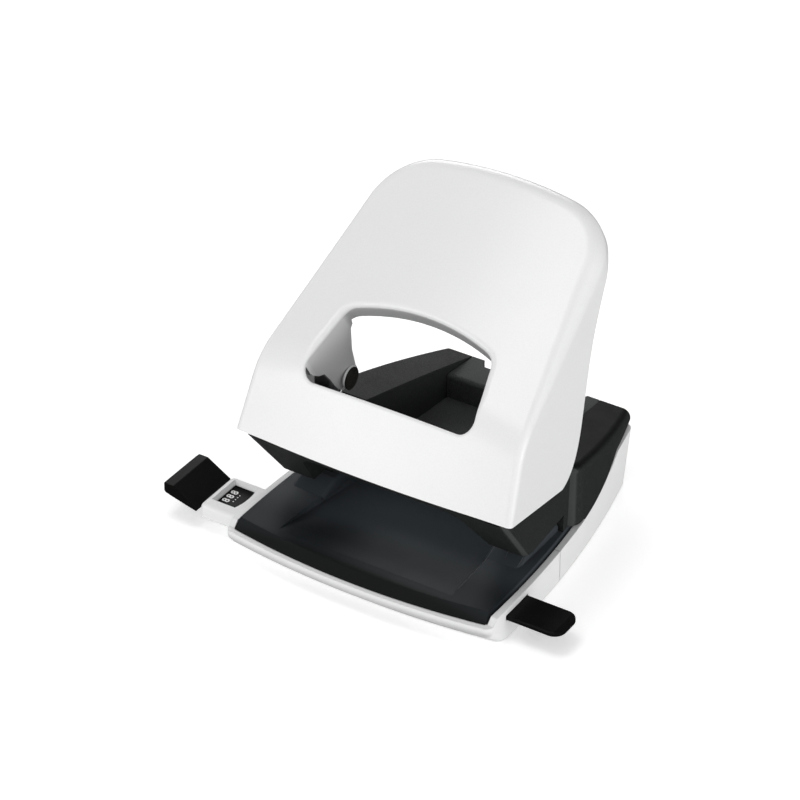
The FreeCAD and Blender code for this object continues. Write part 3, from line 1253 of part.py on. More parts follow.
def mat_space(play):
    """Place of the anti-slip mat in the tray's underside."""
    half = TRAY_MAT_HALF + play
    return box(-half, half, TRAY_MAT_FRONT_Y - play, TRAY_MAT_REAR_Y + play, 0, FOOT_H + PAD_RECESS)


def tray_mat():
    """Anti-slip mat let into the tray's underside, with clipped corners."""
    mat = mat_space(0.0)
    edges = [edge for edge in mat.Edges if upright(edge)]
    return mat.makeChamfer(TRAY_MAT_CORNER, edges)


# ---------------------------------------------------------------- write every node
def main():
    os.makedirs("parts", exist_ok=True)
    save("handle_shell", handle_shell())
    save("handle_hinge_rod", handle_hinge_rod())
    save("chassis_frame", chassis_frame())
    save("rear_well", rear_well())
    save("base_plate", base_plate())
    save("front_base", front_base())
    save("chip_tray", chip_tray())
    save("guide_bar", guide_bar())
    save("bar_click_spring", bar_click_spring())
    pairs = {
        "cross_pin": cross_pin(),
        "punch": punch_pin(),
        "punch_guide": punch_guide(),
        "spring_washer": spring_washer(),
        "punch_spring": punch_spring(),
        "tray_hinge_pin": tray_hinge_pin(),
    }
    for name, right in pairs.items():
        save(name + "_right", right)
        save(name + "_left", mirrored(right))
    save("base_screws", *base_screws())
    save("plate_screws", *plate_screws())
    save("front_feet", *front_feet())
    save("tray_mat", tray_mat())


main()
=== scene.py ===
import json
import math

import bpy
from mathutils import Matrix, Vector


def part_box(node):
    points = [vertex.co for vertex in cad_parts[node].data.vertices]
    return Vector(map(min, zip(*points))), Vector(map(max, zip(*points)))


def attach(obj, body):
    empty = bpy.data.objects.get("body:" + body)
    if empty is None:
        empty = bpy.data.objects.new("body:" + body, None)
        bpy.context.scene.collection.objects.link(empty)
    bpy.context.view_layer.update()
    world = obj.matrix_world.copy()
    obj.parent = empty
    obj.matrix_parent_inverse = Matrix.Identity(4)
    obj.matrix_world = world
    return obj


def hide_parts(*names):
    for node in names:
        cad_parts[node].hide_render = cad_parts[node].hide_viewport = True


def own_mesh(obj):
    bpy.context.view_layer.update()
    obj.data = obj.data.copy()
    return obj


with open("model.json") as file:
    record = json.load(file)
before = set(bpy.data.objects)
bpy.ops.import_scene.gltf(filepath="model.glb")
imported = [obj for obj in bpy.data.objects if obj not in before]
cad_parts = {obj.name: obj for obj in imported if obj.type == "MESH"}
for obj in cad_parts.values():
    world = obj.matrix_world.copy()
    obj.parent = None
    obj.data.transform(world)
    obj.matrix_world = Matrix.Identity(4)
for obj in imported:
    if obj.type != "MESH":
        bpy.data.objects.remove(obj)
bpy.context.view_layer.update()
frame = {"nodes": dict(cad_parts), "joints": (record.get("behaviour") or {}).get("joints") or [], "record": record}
MM = 0.001
print("nodes:", len(frame["nodes"]))

# %% [markdown]
# ## The camera
# A long lens from the front right and about a third of a right angle above the desk. The position and
# the direction are written out instead of being aimed at an empty, because a camera without
# constraints behaves the same in every view that is rendered later.
# %% Camera
CAMERA_AT = (0.53198, -0.84257, 0.72860)
CAMERA_LOOKS = (-0.4478, 0.7010, -0.5550)
LENS_MM = 155.37
SENSOR_MM = 36.0
FARTHEST_SEEN = 20.0


def turned_to(direction):
    """Turn of a camera or a lamp, both of which look down their own Z axis, to face a direction."""
    return direction.to_track_quat("-Z", "Y").to_euler()


camera_data = bpy.data.cameras.new("studio_camera")
camera_data.lens = LENS_MM
camera_data.sensor_width = SENSOR_MM
camera_data.clip_end = FARTHEST_SEEN
camera = bpy.data.objects.new("studio_camera", camera_data)
camera.location = CAMERA_AT
camera.rotation_euler = turned_to(Vector(CAMERA_LOOKS))
bpy.context.collection.objects.link(camera)
bpy.context.scene.camera = camera
print("camera", round(camera.location.length, 3), "m from the origin")

# %% [markdown]
# ## Shader sums as plain Python
# Node graphs are easiest to read as sums. `Wire` wraps one output socket, and every `+` or `*` on it
# adds a Math node. `Graph` writes to one node tree: its `node` method makes any other node from its
# type, its settings and its inputs. The sky and all the finishes are written with these two.
# %% Wire and Graph
class Wire:
    """One output socket that can be added and multiplied like a number."""

    def __init__(self, graph, socket):
        self.graph = graph
        self.socket = socket

    def maths(self, operation, first, second):
        return self.graph.node("ShaderNodeMath", {"operation": operation}, {0: first, 1: second})

    def __add__(self, other):
        return self.maths("ADD", self, other)

    def __radd__(self, other):
        return self.maths("ADD", other, self)

    def __mul__(self, other):
        return self.maths("MULTIPLY", self, other)

    def __rmul__(self, other):
        return self.maths("MULTIPLY", other, self)

    def ramp(self, start, end, low=0.0, high=1.0, shape="SMOOTHSTEP"):
        """Go from low to high while this value goes from start to end."""
        return self.graph.node("ShaderNodeMapRange", {"interpolation_type": shape}, {
            "Value": self, "From Min": start, "From Max": end, "To Min": low, "To Max": high})


class Graph:
    """One shader node tree that is written with plain calls."""

    def __init__(self, tree):
        self.tree = tree

    def plug(self, socket, value):
        """Link a wire to a socket, or set the socket's own value; a colour may come without alpha."""
        if isinstance(value, Wire):
            self.tree.links.new(value.socket, socket)
        elif isinstance(socket, bpy.types.NodeSocketColor) and len(value) == 3:
            socket.default_value = (*value, 1.0)
        else:
            socket.default_value = value

    def node(self, kind, settings, inputs, output=None):
        """Add a node and hand back the output asked for, or the first one that it shows."""
        made = self.tree.nodes.new(kind)
        for key, value in settings.items():
            setattr(made, key, value)
        for key, value in inputs.items():
            self.plug(made.inputs[key], value)
        shown = [socket for socket in made.outputs if socket.enabled]
        return Wire(self, made.outputs[output] if output else shown[0])

    def part(self, vector, axis):
        """One component of a vector."""
        return self.node("ShaderNodeSeparateXYZ", {}, {0: vector}, axis)

# %% [markdown]
# ## What a finish is made of
# `Finish` is the graph of one material, with one Principled shader at its end. Its noises read the
# object's own coordinates in metres, so a grain of half a millimetre is written as such and stays on
# its piece when the piece moves.
# %% Finish
BEVEL_SAMPLES = 4
# A Mix node has a pair of inputs for every kind of data. These are its factor, its two colours and
# its colour result.
MIX_FACTOR, MIX_FIRST, MIX_SECOND = 0, 6, 7
MIX_COLOUR = 2


class Finish(Graph):
    """One procedural material and the nodes that make it."""

    def __init__(self, name):
        self.material = bpy.data.materials.new(name)
        self.material.use_nodes = True
        super().__init__(self.material.node_tree)
        self.tree.nodes.clear()
        self.shader = self.tree.nodes.new("ShaderNodeBsdfPrincipled")
        out = self.tree.nodes.new("ShaderNodeOutputMaterial")
        self.tree.links.new(self.shader.outputs["BSDF"], out.inputs["Surface"])
        self.place = self.node("ShaderNodeTexCoord", {}, {}, "Object")

    def set(self, **values):
        """Give the shader's sockets values or wires; an underscore in a name stands for a space."""
        for key, value in values.items():
            self.plug(self.shader.inputs[key.replace("_", " ")], value)

    def noise(self, size_mm, detail=2.0, roughness=0.5, stretch=(1.0, 1.0, 1.0)):
        """Cloudy pattern whose lumps are about size_mm across, from 0 to 1."""
        place = self.node("ShaderNodeMapping", {}, {"Vector": self.place, "Scale": stretch})
        return self.node("ShaderNodeTexNoise", {}, {
            "Vector": place, "Scale": 1.0 / (size_mm * MM), "Detail": detail, "Roughness": roughness}, "Fac")

    def axis(self, name):
        """One of the object's own coordinates, in metres."""
        return self.part(self.place, name)

    def facing(self, name):
        """How far the surface faces along one axis of the room, from -1 to 1."""
        return self.part(self.node("ShaderNodeNewGeometry", {}, {}, "Normal"), name)

    def blend(self, factor, first, second):
        """Colour between two colours."""
        return self.node("ShaderNodeMix", {"data_type": "RGBA"},
                         {MIX_FACTOR: factor, MIX_FIRST: first, MIX_SECOND: second}, MIX_COLOUR)

    def bump(self, height, depth_mm, edge_mm=0.0):
        """Feed a height pattern of a real depth into the shader's normal, over edges that look rounded."""
        inputs = {"Height": height, "Distance": depth_mm * MM}
        if edge_mm:
            inputs["Normal"] = self.node("ShaderNodeBevel", {"samples": BEVEL_SAMPLES},
                                         {"Radius": edge_mm * MM})
        self.set(Normal=self.node("ShaderNodeBump", {}, inputs))

# %% [markdown]
# ## The desk
# A pale desk under a white object should show little more than a soft shadow. Lamps alone would leave
# its far parts grey, so the desk also glows faintly by itself. It isn't mirrored in anything glossy:
# a white desk would lay a veil of grey over every black face that looks down.
# %% Desk
DESK_HALF = 6.0
DESK_WHITE = 0.9
DESK_CLOUD = 0.97 * DESK_WHITE
DESK_CLOUD_SIZE_MM = 180.0
DESK_CLOUD_SHARE = 0.02
DESK_GLOW = 0.36


def desk_paper():
    finish = Finish("studio_paper")
    finish.set(Roughness=1.0, Specular_IOR_Level=0.0)
    finish.set(Emission_Color=(1.0, 1.0, 1.0), Emission_Strength=DESK_GLOW)
    cloud = finish.noise(DESK_CLOUD_SIZE_MM)
    finish.set(Base_Color=finish.blend(cloud * DESK_CLOUD_SHARE, (DESK_WHITE,) * 3, (DESK_CLOUD,) * 3))
    return finish.material


corners = [(x * DESK_HALF, y * DESK_HALF, 0) for x, y in ((-1, -1), (1, -1), (1, 1), (-1, 1))]
floor_mesh = bpy.data.meshes.new("studio_floor")
floor_mesh.from_pydata(corners, [], [(0, 1, 2, 3)])
floor = bpy.data.objects.new("studio_floor", floor_mesh)
floor.data.materials.append(desk_paper())
bpy.context.collection.objects.link(floor)
floor.visible_glossy = False
print("desk", 2 * DESK_HALF, "m wide")

# %% [markdown]
# ## The sky
# The sky does most of the lighting, evenly from all sides, which is what gives a studio picture its
# open shadows. It fades to nearly nothing below the horizon, and it is dimmer behind the punch, so
# that the black faces that mirror that side stay black.
# %% Sky
SKY_SHADE = 0.62
GROUND_SHADE = 0.05
GROUND_BELOW = -0.25
BACK_SHADE = 0.18
BACK_HEADING = (0.15, 0.97, 0.15)
BACK_STARTS, BACK_FULL = 0.35, 0.75
world = bpy.data.worlds.new("studio_air")
world.use_nodes = True
air = Graph(world.node_tree)
heading = air.node("ShaderNodeTexCoord", {}, {}, "Generated")
upward = air.part(heading, "Z").ramp(GROUND_BELOW, 0.0, GROUND_SHADE, SKY_SHADE, "LINEAR")
behind = air.node("ShaderNodeVectorMath", {"operation": "DOT_PRODUCT"}, {0: heading, 1: BACK_HEADING}, "Value")
dimmed = behind.ramp(BACK_STARTS, BACK_FULL, 1.0, BACK_SHADE, "LINEAR")
background = air.tree.nodes["Background"]
air.plug(background.inputs["Color"], (1.0, 1.0, 1.0))
air.plug(background.inputs["Strength"], upward * dimmed)
bpy.context.scene.world = world
bpy.context.scene.view_settings.view_transform = "Standard"
print("sky", SKY_SHADE, "above,", GROUND_SHADE, "below")

# %% [markdown]
# ## The lamps
# Satin paint shows its shape by slow gradients, so each lamp is a soft one, wider than the punch. The
# key comes from the front left, the fill from low on the right, and one high on the right draws out
# the long bend of the handle. One from above lightens the tops, and one from behind reaches the left
# tower.
# %% Lamps
PUNCH_MIDDLE = (0.0, 0.02, 0.06)
HANDLE_MIDDLE = (0.03, 0.0, 0.09)
LEFT_TOWER = (-0.04, 0.05, 0.04)
# Each row is a name, a place, an aim, a width and height in metres, and watts.
LAMPS = (
    ("key_lamp", (-0.62, -1.18, 0.30), PUNCH_MIDDLE, (0.45, 0.35), 3.4),
    ("fill_lamp", (1.3, 0.0, 0.14), PUNCH_MIDDLE, (0.8, 0.3), 5.4),
    ("ridge_lamp", (0.97, 0.08, 0.70), PUNCH_MIDDLE, (0.25, 0.25), 1.0),
    ("top_lamp", (-0.08, -0.15, 0.80), HANDLE_MIDDLE, (0.30, 0.30), 1.4),
    ("back_lamp", (-0.50, 0.80, 0.40), LEFT_TOWER, (0.5, 0.4), 2.6),
)

for name, place, aim, size, watts in LAMPS:
    lamp_data = bpy.data.lights.new(name, "AREA")
    lamp_data.shape = "RECTANGLE"
    lamp_data.size, lamp_data.size_y = size
    lamp_data.energy = watts
    lamp = bpy.data.objects.new(name, lamp_data)
    lamp.location = place
    lamp.rotation_euler = turned_to(Vector(aim) - Vector(place))
    bpy.context.collection.objects.link(lamp)
print("lamps:", len(LAMPS))

# %% [markdown]
# ## White enamel
# The handle is pressed steel under a satin enamel with a very fine orange-peel grain. A plain white
# would read as paper, so the white is clouded in brightness and in gloss, and its grain brings slightly
# darker specks. Faces that look down get a painted shade, a darker colour that keeps the inside of the
# pressed shell dark. A thin coat gives the sheen.
# %% White enamel
ENAMEL = (0.775, 0.775, 0.775)
ENAMEL_CLOUD = (0.745, 0.745, 0.747)
ENAMEL_SPECKS = (0.66, 0.66, 0.665)
ENAMEL_PAINTED_SHADE = (0.34, 0.34, 0.342)
CLOUD_SHARE = 0.5
SPECKS_SHARE = 0.22
SHADED_SHARE = 0.8
ENAMEL_ROUGH, ENAMEL_UNEVEN = 0.34, 0.08
COAT_WEIGHT, COAT_ROUGH = 0.3, 0.28


def white_enamel():
    finish = Finish("white_enamel")
    cloud = finish.noise(size_mm=22.0, detail=3.0)
    grain = finish.noise(size_mm=0.55, detail=2.0, roughness=0.6)
    specks = grain.ramp(start=0.35, end=0.75)
    # Painted shade: faces that look down get a darker colour.
    inside = finish.facing("Z").ramp(start=0.0, end=-0.3)
    colour = finish.blend(cloud * CLOUD_SHARE, ENAMEL, ENAMEL_CLOUD)
    colour = finish.blend(specks * SPECKS_SHARE, colour, ENAMEL_SPECKS)
    colour = finish.blend(inside * SHADED_SHARE, colour, ENAMEL_PAINTED_SHADE)
    finish.set(Base_Color=colour, Roughness=cloud * ENAMEL_UNEVEN + ENAMEL_ROUGH)
    finish.set(Coat_Weight=COAT_WEIGHT, Coat_Roughness=COAT_ROUGH)
    finish.bump(grain, depth_mm=0.016)
    return finish.material


FINISHES = {"white_enamel": white_enamel()}
print("finishes so far:", sorted(FINISHES))

# %% [markdown]
# ## White moulding
# The base and the tray are moulded plastic: a little greyer than the enamel and with a softer, broader
# sheen. Low on its front the base leans back under its own rim, and that band gets a painted shade: a
# ramp along Z and one along Y pick it out and darken it. The edges of a moulding are never sharp, so a
# Bevel node under the bump makes them catch the light as rounded ones do.
# %% White moulding
MOULDING = (0.78, 0.78, 0.78)
MOULDING_CLOUD = (0.735, 0.737, 0.74)
MOULDING_PAINTED_SHADE = (0.36, 0.36, 0.36)
MOULDING_ROUGH, MOULDING_UNEVEN = 0.4, 0.1
LOW_TOP, LOW_FULL = 10.5 * MM, 7.5 * MM
LOW_REAR, LOW_FRONT = -36.0 * MM, -39.5 * MM


def white_moulding():
    finish = Finish("white_moulding")
    cloud = finish.noise(size_mm=14.0, detail=3.0)
    grain = finish.noise(size_mm=0.35, detail=2.0, roughness=0.55)
    # Painted shade: the low band on the front of the base is darkened.
    low = finish.axis("Z").ramp(LOW_TOP, LOW_FULL) * finish.axis("Y").ramp(LOW_REAR, LOW_FRONT)
    colour = finish.blend(cloud * CLOUD_SHARE, MOULDING, MOULDING_CLOUD)
    colour = finish.blend(low * SHADED_SHARE, colour, MOULDING_PAINTED_SHADE)
    finish.set(Base_Color=colour, Roughness=cloud * MOULDING_UNEVEN + MOULDING_ROUGH)
    finish.bump(grain, depth_mm=0.008, edge_mm=0.5)
    return finish.material


FINISHES["white_moulding"] = white_moulding()
print("finishes so far:", sorted(FINISHES))

# %% [markdown]
# ## Black and charcoal mouldings
# The insert between the towers is charcoal plastic and the guide bar is nearly black. Both have a fine
# spark-eroded grain and hardly mirror anything, so one function serves both: two close colours mixed
# by the grain, a cloudy gloss, and a low specular level.
# %% Charcoal mouldings
GRAIN_STARTS, GRAIN_FULL = 0.42, 0.7
CHARCOAL_CLOUD_MM = 9.0
CHARCOAL_EDGE_MM = 0.45
CHARCOAL_SPECULAR = 0.07
CHARCOAL_UNEVEN = 0.12


def charcoal(name, base, lighter, grain_mm, depth_mm, rough):
    finish = Finish(name)
    grain = finish.noise(grain_mm, detail=2.0, roughness=0.6)
    cloud = finish.noise(CHARCOAL_CLOUD_MM)
    finish.set(Base_Color=finish.blend(grain.ramp(GRAIN_STARTS, GRAIN_FULL), base, lighter),
               Roughness=cloud * CHARCOAL_UNEVEN + rough, Specular_IOR_Level=CHARCOAL_SPECULAR)
    finish.bump(grain, depth_mm, CHARCOAL_EDGE_MM)
    return finish.material


FINISHES["charcoal_moulding"] = charcoal(
    "charcoal_moulding", base=(0.055, 0.058, 0.058), lighter=(0.090, 0.094, 0.093),
    grain_mm=0.35, depth_mm=0.02, rough=0.48)
FINISHES["black_moulding"] = charcoal(
    "black_moulding", base=(0.003, 0.003, 0.003), lighter=(0.007, 0.007, 0.007),
    grain_mm=0.3, depth_mm=0.012, rough=0.34)
print("finishes so far:", sorted(FINISHES))

# %% [markdown]
# ## Cast paint
# The chassis is a casting under a textured paint. Its tops carry painted light and shade: painted shade
# makes them darker on the right and painted light makes them lighter on the left, and its walls lie
# between the two. The front corner of the right wing gets a painted highlight, a paler band. Three masks
# say where: how far the surface faces up, where it lies along X, and a band of headings between front
# and side.
# %% Cast paint
TOP_RIGHT_PAINTED_SHADE, TOP_RIGHT_PAINTED_SHADE_GRAIN = (0.004, 0.0045, 0.0043), (0.008, 0.0085, 0.0083)
TOP_LEFT_PAINTED_LIGHT, TOP_LEFT_PAINTED_LIGHT_GRAIN = (0.019, 0.020, 0.0195), (0.042, 0.043, 0.0425)
WALL, WALL_GRAIN = (0.019, 0.0205, 0.020), (0.030, 0.032, 0.0315)
WING_CORNER_HIGHLIGHT = (0.055, 0.058, 0.057)
WING_CORNER_HIGHLIGHT_SHARE = 0.9
CAST_ROUGH = 0.5
CAST_SPECULAR = 0.06
TOP_CHANGES_X = 20.0 * MM


def cast_paint():
    finish = Finish("charcoal_cast")
    grain = finish.noise(size_mm=0.45, detail=2.0, roughness=0.6)
    cloud = finish.noise(CHARCOAL_CLOUD_MM)
    upward = finish.facing("Z").ramp(start=0.5, end=0.9)
    # Painted light and shade: the tops are lighter on the left and darker on the right.
    left_lit = finish.axis("X").ramp(TOP_CHANGES_X, -TOP_CHANGES_X)
    base = finish.blend(upward, WALL, finish.blend(left_lit, TOP_RIGHT_PAINTED_SHADE, TOP_LEFT_PAINTED_LIGHT))
    lighter = finish.blend(upward, WALL_GRAIN, finish.blend(left_lit, TOP_RIGHT_PAINTED_SHADE_GRAIN, TOP_LEFT_PAINTED_LIGHT_GRAIN))
    colour = finish.blend(grain.ramp(GRAIN_STARTS, GRAIN_FULL), base, lighter)
    # Painted highlight: a paler band on the front corner of the right wing.
    sideways = finish.facing("X")
    between = sideways.ramp(start=0.35, end=0.5) * sideways.ramp(start=0.92, end=0.82)
    corner = between * finish.facing("Y").ramp(start=-0.2, end=-0.35)
    colour = finish.blend(corner * WING_CORNER_HIGHLIGHT_SHARE, colour, WING_CORNER_HIGHLIGHT)
    finish.set(Base_Color=colour, Roughness=cloud * CHARCOAL_UNEVEN + CAST_ROUGH,
               Specular_IOR_Level=CAST_SPECULAR)
    finish.bump(grain, depth_mm=0.018, edge_mm=CHARCOAL_EDGE_MM)
    return finish.material


FINISHES["charcoal_cast"] = cast_paint()
print("finishes so far:", sorted(FINISHES))

# %% [markdown]
# ## Painted sheet
# The base plate is a smoother painted sheet. Its front band is plain charcoal and duller, and behind it
# the dish turns bluish and gets a painted light, lighter towards the rear. All three changes run from
# front to rear, so each is one ramp along Y.
# %% Painted sheet
BAND = (0.0070, 0.0078, 0.0076)
DISH_FRONT = (0.0125, 0.0150, 0.0172)
DISH_REAR_PAINTED_LIGHT = (0.0450, 0.0520, 0.0590)
BAND_ENDS_Y, DISH_STARTS_Y = -38.5 * MM, -34.0 * MM
DISH_PALES_Y, DISH_PALE_Y = -27.0 * MM, -10.0 * MM
DULL_ENDS_Y = -36.0 * MM
DULLNESS = 0.25
SHEET_ROUGH, SHEET_UNEVEN = 0.42, 0.1
SHEET_SPECULAR = 0.09


def charcoal_sheet():
    finish = Finish("charcoal_sheet")
    grain = finish.noise(size_mm=0.4, detail=2.0, roughness=0.5)
    cloud = finish.noise(size_mm=16.0, detail=2.0)
    # Painted light: the dish is made lighter towards the rear.
    dish = finish.blend(finish.axis("Y").ramp(DISH_PALES_Y, DISH_PALE_Y), DISH_FRONT, DISH_REAR_PAINTED_LIGHT)
    colour = finish.blend(finish.axis("Y").ramp(BAND_ENDS_Y, DISH_STARTS_Y), BAND, dish)
    dull = finish.axis("Y").ramp(DULL_ENDS_Y, BAND_ENDS_Y)
    finish.set(Base_Color=colour, Roughness=cloud * SHEET_UNEVEN + dull * DULLNESS + SHEET_ROUGH,
               Specular_IOR_Level=SHEET_SPECULAR)
    finish.bump(grain, depth_mm=0.006, edge_mm=0.6)
    return finish.material


FINISHES["charcoal_sheet"] = charcoal_sheet()
print("finishes so far:", sorted(FINISHES))

# %% [markdown]
# ## Bare metals and rubber
# Pins and springs are only glimpsed inside, so they need the right darkness more than detail. One
# scratchy noise gives turned steel, spring wire and blackened steel their uneven colour and gloss, and
# on the hard punches it is squeezed along Z into rings. The pads are matt rubber with dust on it.
# %% Metals and rubber
SCRATCH_COOL = 1.02
SCRATCH_DARK = 0.8
SCRATCH_UNEVEN = 0.15
RUBBER, RUBBER_DUST = (0.03, 0.03, 0.03), (0.07, 0.07, 0.068)


def steel(name, shade, rough, stretch=(1.0, 1.0, 1.0)):
    finish = Finish(name)
    scratch = finish.noise(size_mm=0.8, detail=3.0, roughness=0.6, stretch=stretch)
    colour = finish.blend(scratch, (shade, shade, shade * SCRATCH_COOL), (shade * SCRATCH_DARK,) * 3)
    finish.set(Base_Color=colour, Metallic=1.0, Roughness=scratch * SCRATCH_UNEVEN + rough)
    finish.bump(scratch, depth_mm=0.004)
    return finish.material


def pad_rubber():
    finish = Finish("pad_rubber")
    dust = finish.noise(size_mm=1.5, detail=3.0)
    finish.set(Base_Color=finish.blend(dust * CLOUD_SHARE, RUBBER, RUBBER_DUST), Roughness=0.85)
    finish.bump(dust, depth_mm=0.02)
    return finish.material


FINISHES["steel"] = steel("steel", shade=0.55, rough=0.28)
FINISHES["hard_steel"] = steel("hard_steel", shade=0.5, rough=0.22, stretch=(1.0, 1.0, 6.0))
FINISHES["spring_steel"] = steel("spring_steel", shade=0.42, rough=0.3)
FINISHES["dark_steel"] = steel("dark_steel", shade=0.12, rough=0.35)
FINISHES["pad_rubber"] = pad_rubber()
print("finishes so far:", sorted(FINISHES))

# %% [markdown]
# ## Dressing the solids
# The record names a material slot for each solid, so the finishes are handed out by that name. The
# shapes of the solids aren't touched.
# %% Dress the solids
for row in frame["record"]["subparts"]:
    for slot in frame["nodes"][row["node"]].material_slots:
        slot.material = FINISHES[row["material_slot"]]

# %% [markdown]
# ## Shapes from Geometry Nodes
# What repeats is cheaper to describe than to place by hand: a small tree says "this shape, that many
# times, so far apart", and a change of one number moves all of them. `Recipe` builds such a tree with
# named inputs. It always ends in Realize Instances and Set Material, and `baked` runs it once and
# keeps the result as a plain mesh.
# %% Recipe
class Recipe:
    """One Geometry Nodes tree with named number inputs."""

    def __init__(self, name, inputs):
        self.tree = bpy.data.node_groups.new(name, "GeometryNodeTree")
        self.sockets = {}
        for label in inputs:
            socket = self.tree.interface.new_socket(label, in_out="INPUT", socket_type="NodeSocketFloat")
            self.sockets[label] = socket.identifier
        self.tree.interface.new_socket("Geometry", in_out="OUTPUT", socket_type="NodeSocketGeometry")
        self.given = self.tree.nodes.new("NodeGroupInput")
        self.out = self.tree.nodes.new("NodeGroupOutput")

    def input(self, label):
        return self.given.outputs[label]

    def node(self, kind, settings, inputs):
        """Add a node and hand back its first output."""
        made = self.tree.nodes.new(kind)
        for key, value in settings.items():
            setattr(made, key, value)
        for key, value in inputs.items():
            if isinstance(value, bpy.types.NodeSocket):
                self.tree.links.new(value, made.inputs[key])
            else:
                made.inputs[key].default_value = value
        return made.outputs[0]

    def maths(self, operation, first, second):
        return self.node("ShaderNodeMath", {"operation": operation}, {0: first, 1: second})

    def scaled(self, label, factor):
        """A named input times a number."""
        return self.maths("MULTIPLY", self.input(label), factor)

    def vector(self, x=0.0, y=0.0, z=0.0):
        return self.node("ShaderNodeCombineXYZ", {}, {0: x, 1: y, 2: z})

    def joined(self, *shapes):
        """Several shapes as one geometry."""
        made = self.tree.nodes.new("GeometryNodeJoinGeometry")
        for shape in shapes:
            self.tree.links.new(shape, made.inputs[0])
        return made.outputs[0]

    def in_a_row(self, shape, count):
        """Copies of a shape along X, one "Step" apart, with the middle of the row on the origin."""
        row = self.node("GeometryNodeMeshLine", {}, {"Count": count, "Offset": self.vector(self.input("Step"))})
        start = self.vector(self.scaled("Step", -0.5 * (count - 1)))
        row = self.node("GeometryNodeTransform", {}, {"Geometry": row, "Translation": start})
        return self.node("GeometryNodeInstanceOnPoints", {}, {"Points": row, "Instance": shape})

    def serve(self, geometry, material):
        """Close the tree: real geometry with its material."""
        real = self.node("GeometryNodeRealizeInstances", {}, {0: geometry})
        done = self.node("GeometryNodeSetMaterial", {}, {"Geometry": real, "Material": material})
        self.tree.links.new(done, self.out.inputs[0])
        return self

# %% [markdown]
# ## From a recipe to a piece
# A modifier would do its work again at every render, and an export may leave it out. So each recipe
# runs once on an empty mesh, its result is kept, and the modifier is taken off. The mesh is then moved
# instead of its object, because a piece's object stays at the origin like those of the solids.
# %% Baked and placed
QUARTER_TURN = math.radians(90.0)


def baked(recipe, name, values):
    """Run a recipe once with its values and keep what it makes as a plain mesh object."""
    maker = bpy.data.objects.new(name, bpy.data.meshes.new(name + "_start"))
    bpy.context.collection.objects.link(maker)
    steps = maker.modifiers.new("recipe", "NODES")
    steps.node_group = recipe.tree
    for label, value in values.items():
        steps[recipe.sockets[label]] = value
    graph = bpy.context.evaluated_depsgraph_get()
    mesh = bpy.data.meshes.new_from_object(maker.evaluated_get(graph), depsgraph=graph)
    maker.modifiers.remove(steps)
    maker.data = mesh
    maker.data.name = name
    print(name, "has", len(mesh.polygons), "faces")
    return maker


def placed(piece, spot, turn=Matrix()):
    """Turn a piece's own mesh if asked to, and move it to a spot."""
    piece.data.transform(Matrix.Translation(spot) @ turn)

# %% [markdown]
# ## White print
# Print wears: here and there the white is a little thinner and greyer. One fine noise gives both the
# greyer places and the slightly uneven surface.
# %% White print
PRINT, PRINT_WORN = (0.86, 0.86, 0.86), (0.7, 0.7, 0.7)
WORN_SHARE = 0.4


def print_white():
    finish = Finish("print_white")
    patchiness = finish.noise(size_mm=0.5, detail=2.0)
    finish.set(Base_Color=finish.blend(patchiness * WORN_SHARE, PRINT, PRINT_WORN), Roughness=0.5)
    finish.bump(patchiness, depth_mm=0.004)
    return finish.material


WHITE_PRINT = print_white()
print("print finish:", WHITE_PRINT.name)

# %% [markdown]
# ## The figures of the scale
# The guide bar carries white print that shows through the window of the block: three figures that
# name the paper format, read from the side, and four small marks beside them. An image texture could
# carry them, but print made as geometry stays sharp at any distance. A figure is a String to Curves
# node, filled, drawn round with a thin pen to make it bold, pressed flat, and repeated along a row.
# %% Figures
FIGURE_HEIGHT = 2.9 * MM
FIGURE_STEP = 2.75 * MM
FIGURE_WEIGHT = 0.10 * MM
FIGURES = 3
FONT_SIZE_PER_HEIGHT = 1.38
PEN_SIDES = 6
PRESSED_FLAT = 0.05


def figure_recipe():
    """Bold figures side by side along X, centred on the origin."""
    recipe = Recipe("scale_figures", ["Height", "Step", "Weight"])
    glyph = recipe.node("GeometryNodeStringToCurves", {"align_x": "CENTER", "align_y": "MIDDLE"},
                        {"String": "8", "Size": recipe.scaled("Height", FONT_SIZE_PER_HEIGHT)})
    glyph = recipe.node("GeometryNodeRealizeInstances", {}, {0: glyph})
    pen = recipe.node("GeometryNodeCurvePrimitiveCircle", {},
                      {"Resolution": PEN_SIDES, "Radius": recipe.input("Weight")})
    edge = recipe.node("GeometryNodeCurveToMesh", {}, {"Curve": glyph, "Profile Curve": pen})
    face = recipe.node("GeometryNodeFillCurve", {"mode": "NGONS"}, {0: glyph})
    flat = recipe.node("GeometryNodeTransform", {}, {"Geometry": recipe.joined(edge, face),
                                                     "Scale": recipe.vector(1.0, 1.0, PRESSED_FLAT)})
    return recipe.serve(recipe.in_a_row(flat, FIGURES), WHITE_PRINT)


figures = baked(figure_recipe(), "scale_figures",
                {"Height": FIGURE_HEIGHT, "Step": FIGURE_STEP, "Weight": FIGURE_WEIGHT})

# %% [markdown]
# ## The marks of the scale
# A mark is one low disc, repeated along a row as the figures are. The print is made lying along X and
# then turned, because it is read from the side. It lies within a few hundredths of a millimetre of the
# bar's top and rides on the bar, so it leaves the window when the bar is pulled out.
# %% Marks
MARK_STEP = 1.4 * MM
MARK_RADIUS = 0.24 * MM
MARK_THICKNESS = 0.04 * MM
MARK_SIDES = 20
MARKS = 4
BAR_TOP = 10.4 * MM
PRINT_LIFT = 0.02 * MM
PRINT_Z = BAR_TOP + PRINT_LIFT
SCALE_Y = -20.9 * MM
FIGURES_AT = Vector((-65.2 * MM, SCALE_Y, PRINT_Z))
MARKS_AT = Vector((-62.6 * MM, SCALE_Y, PRINT_Z))


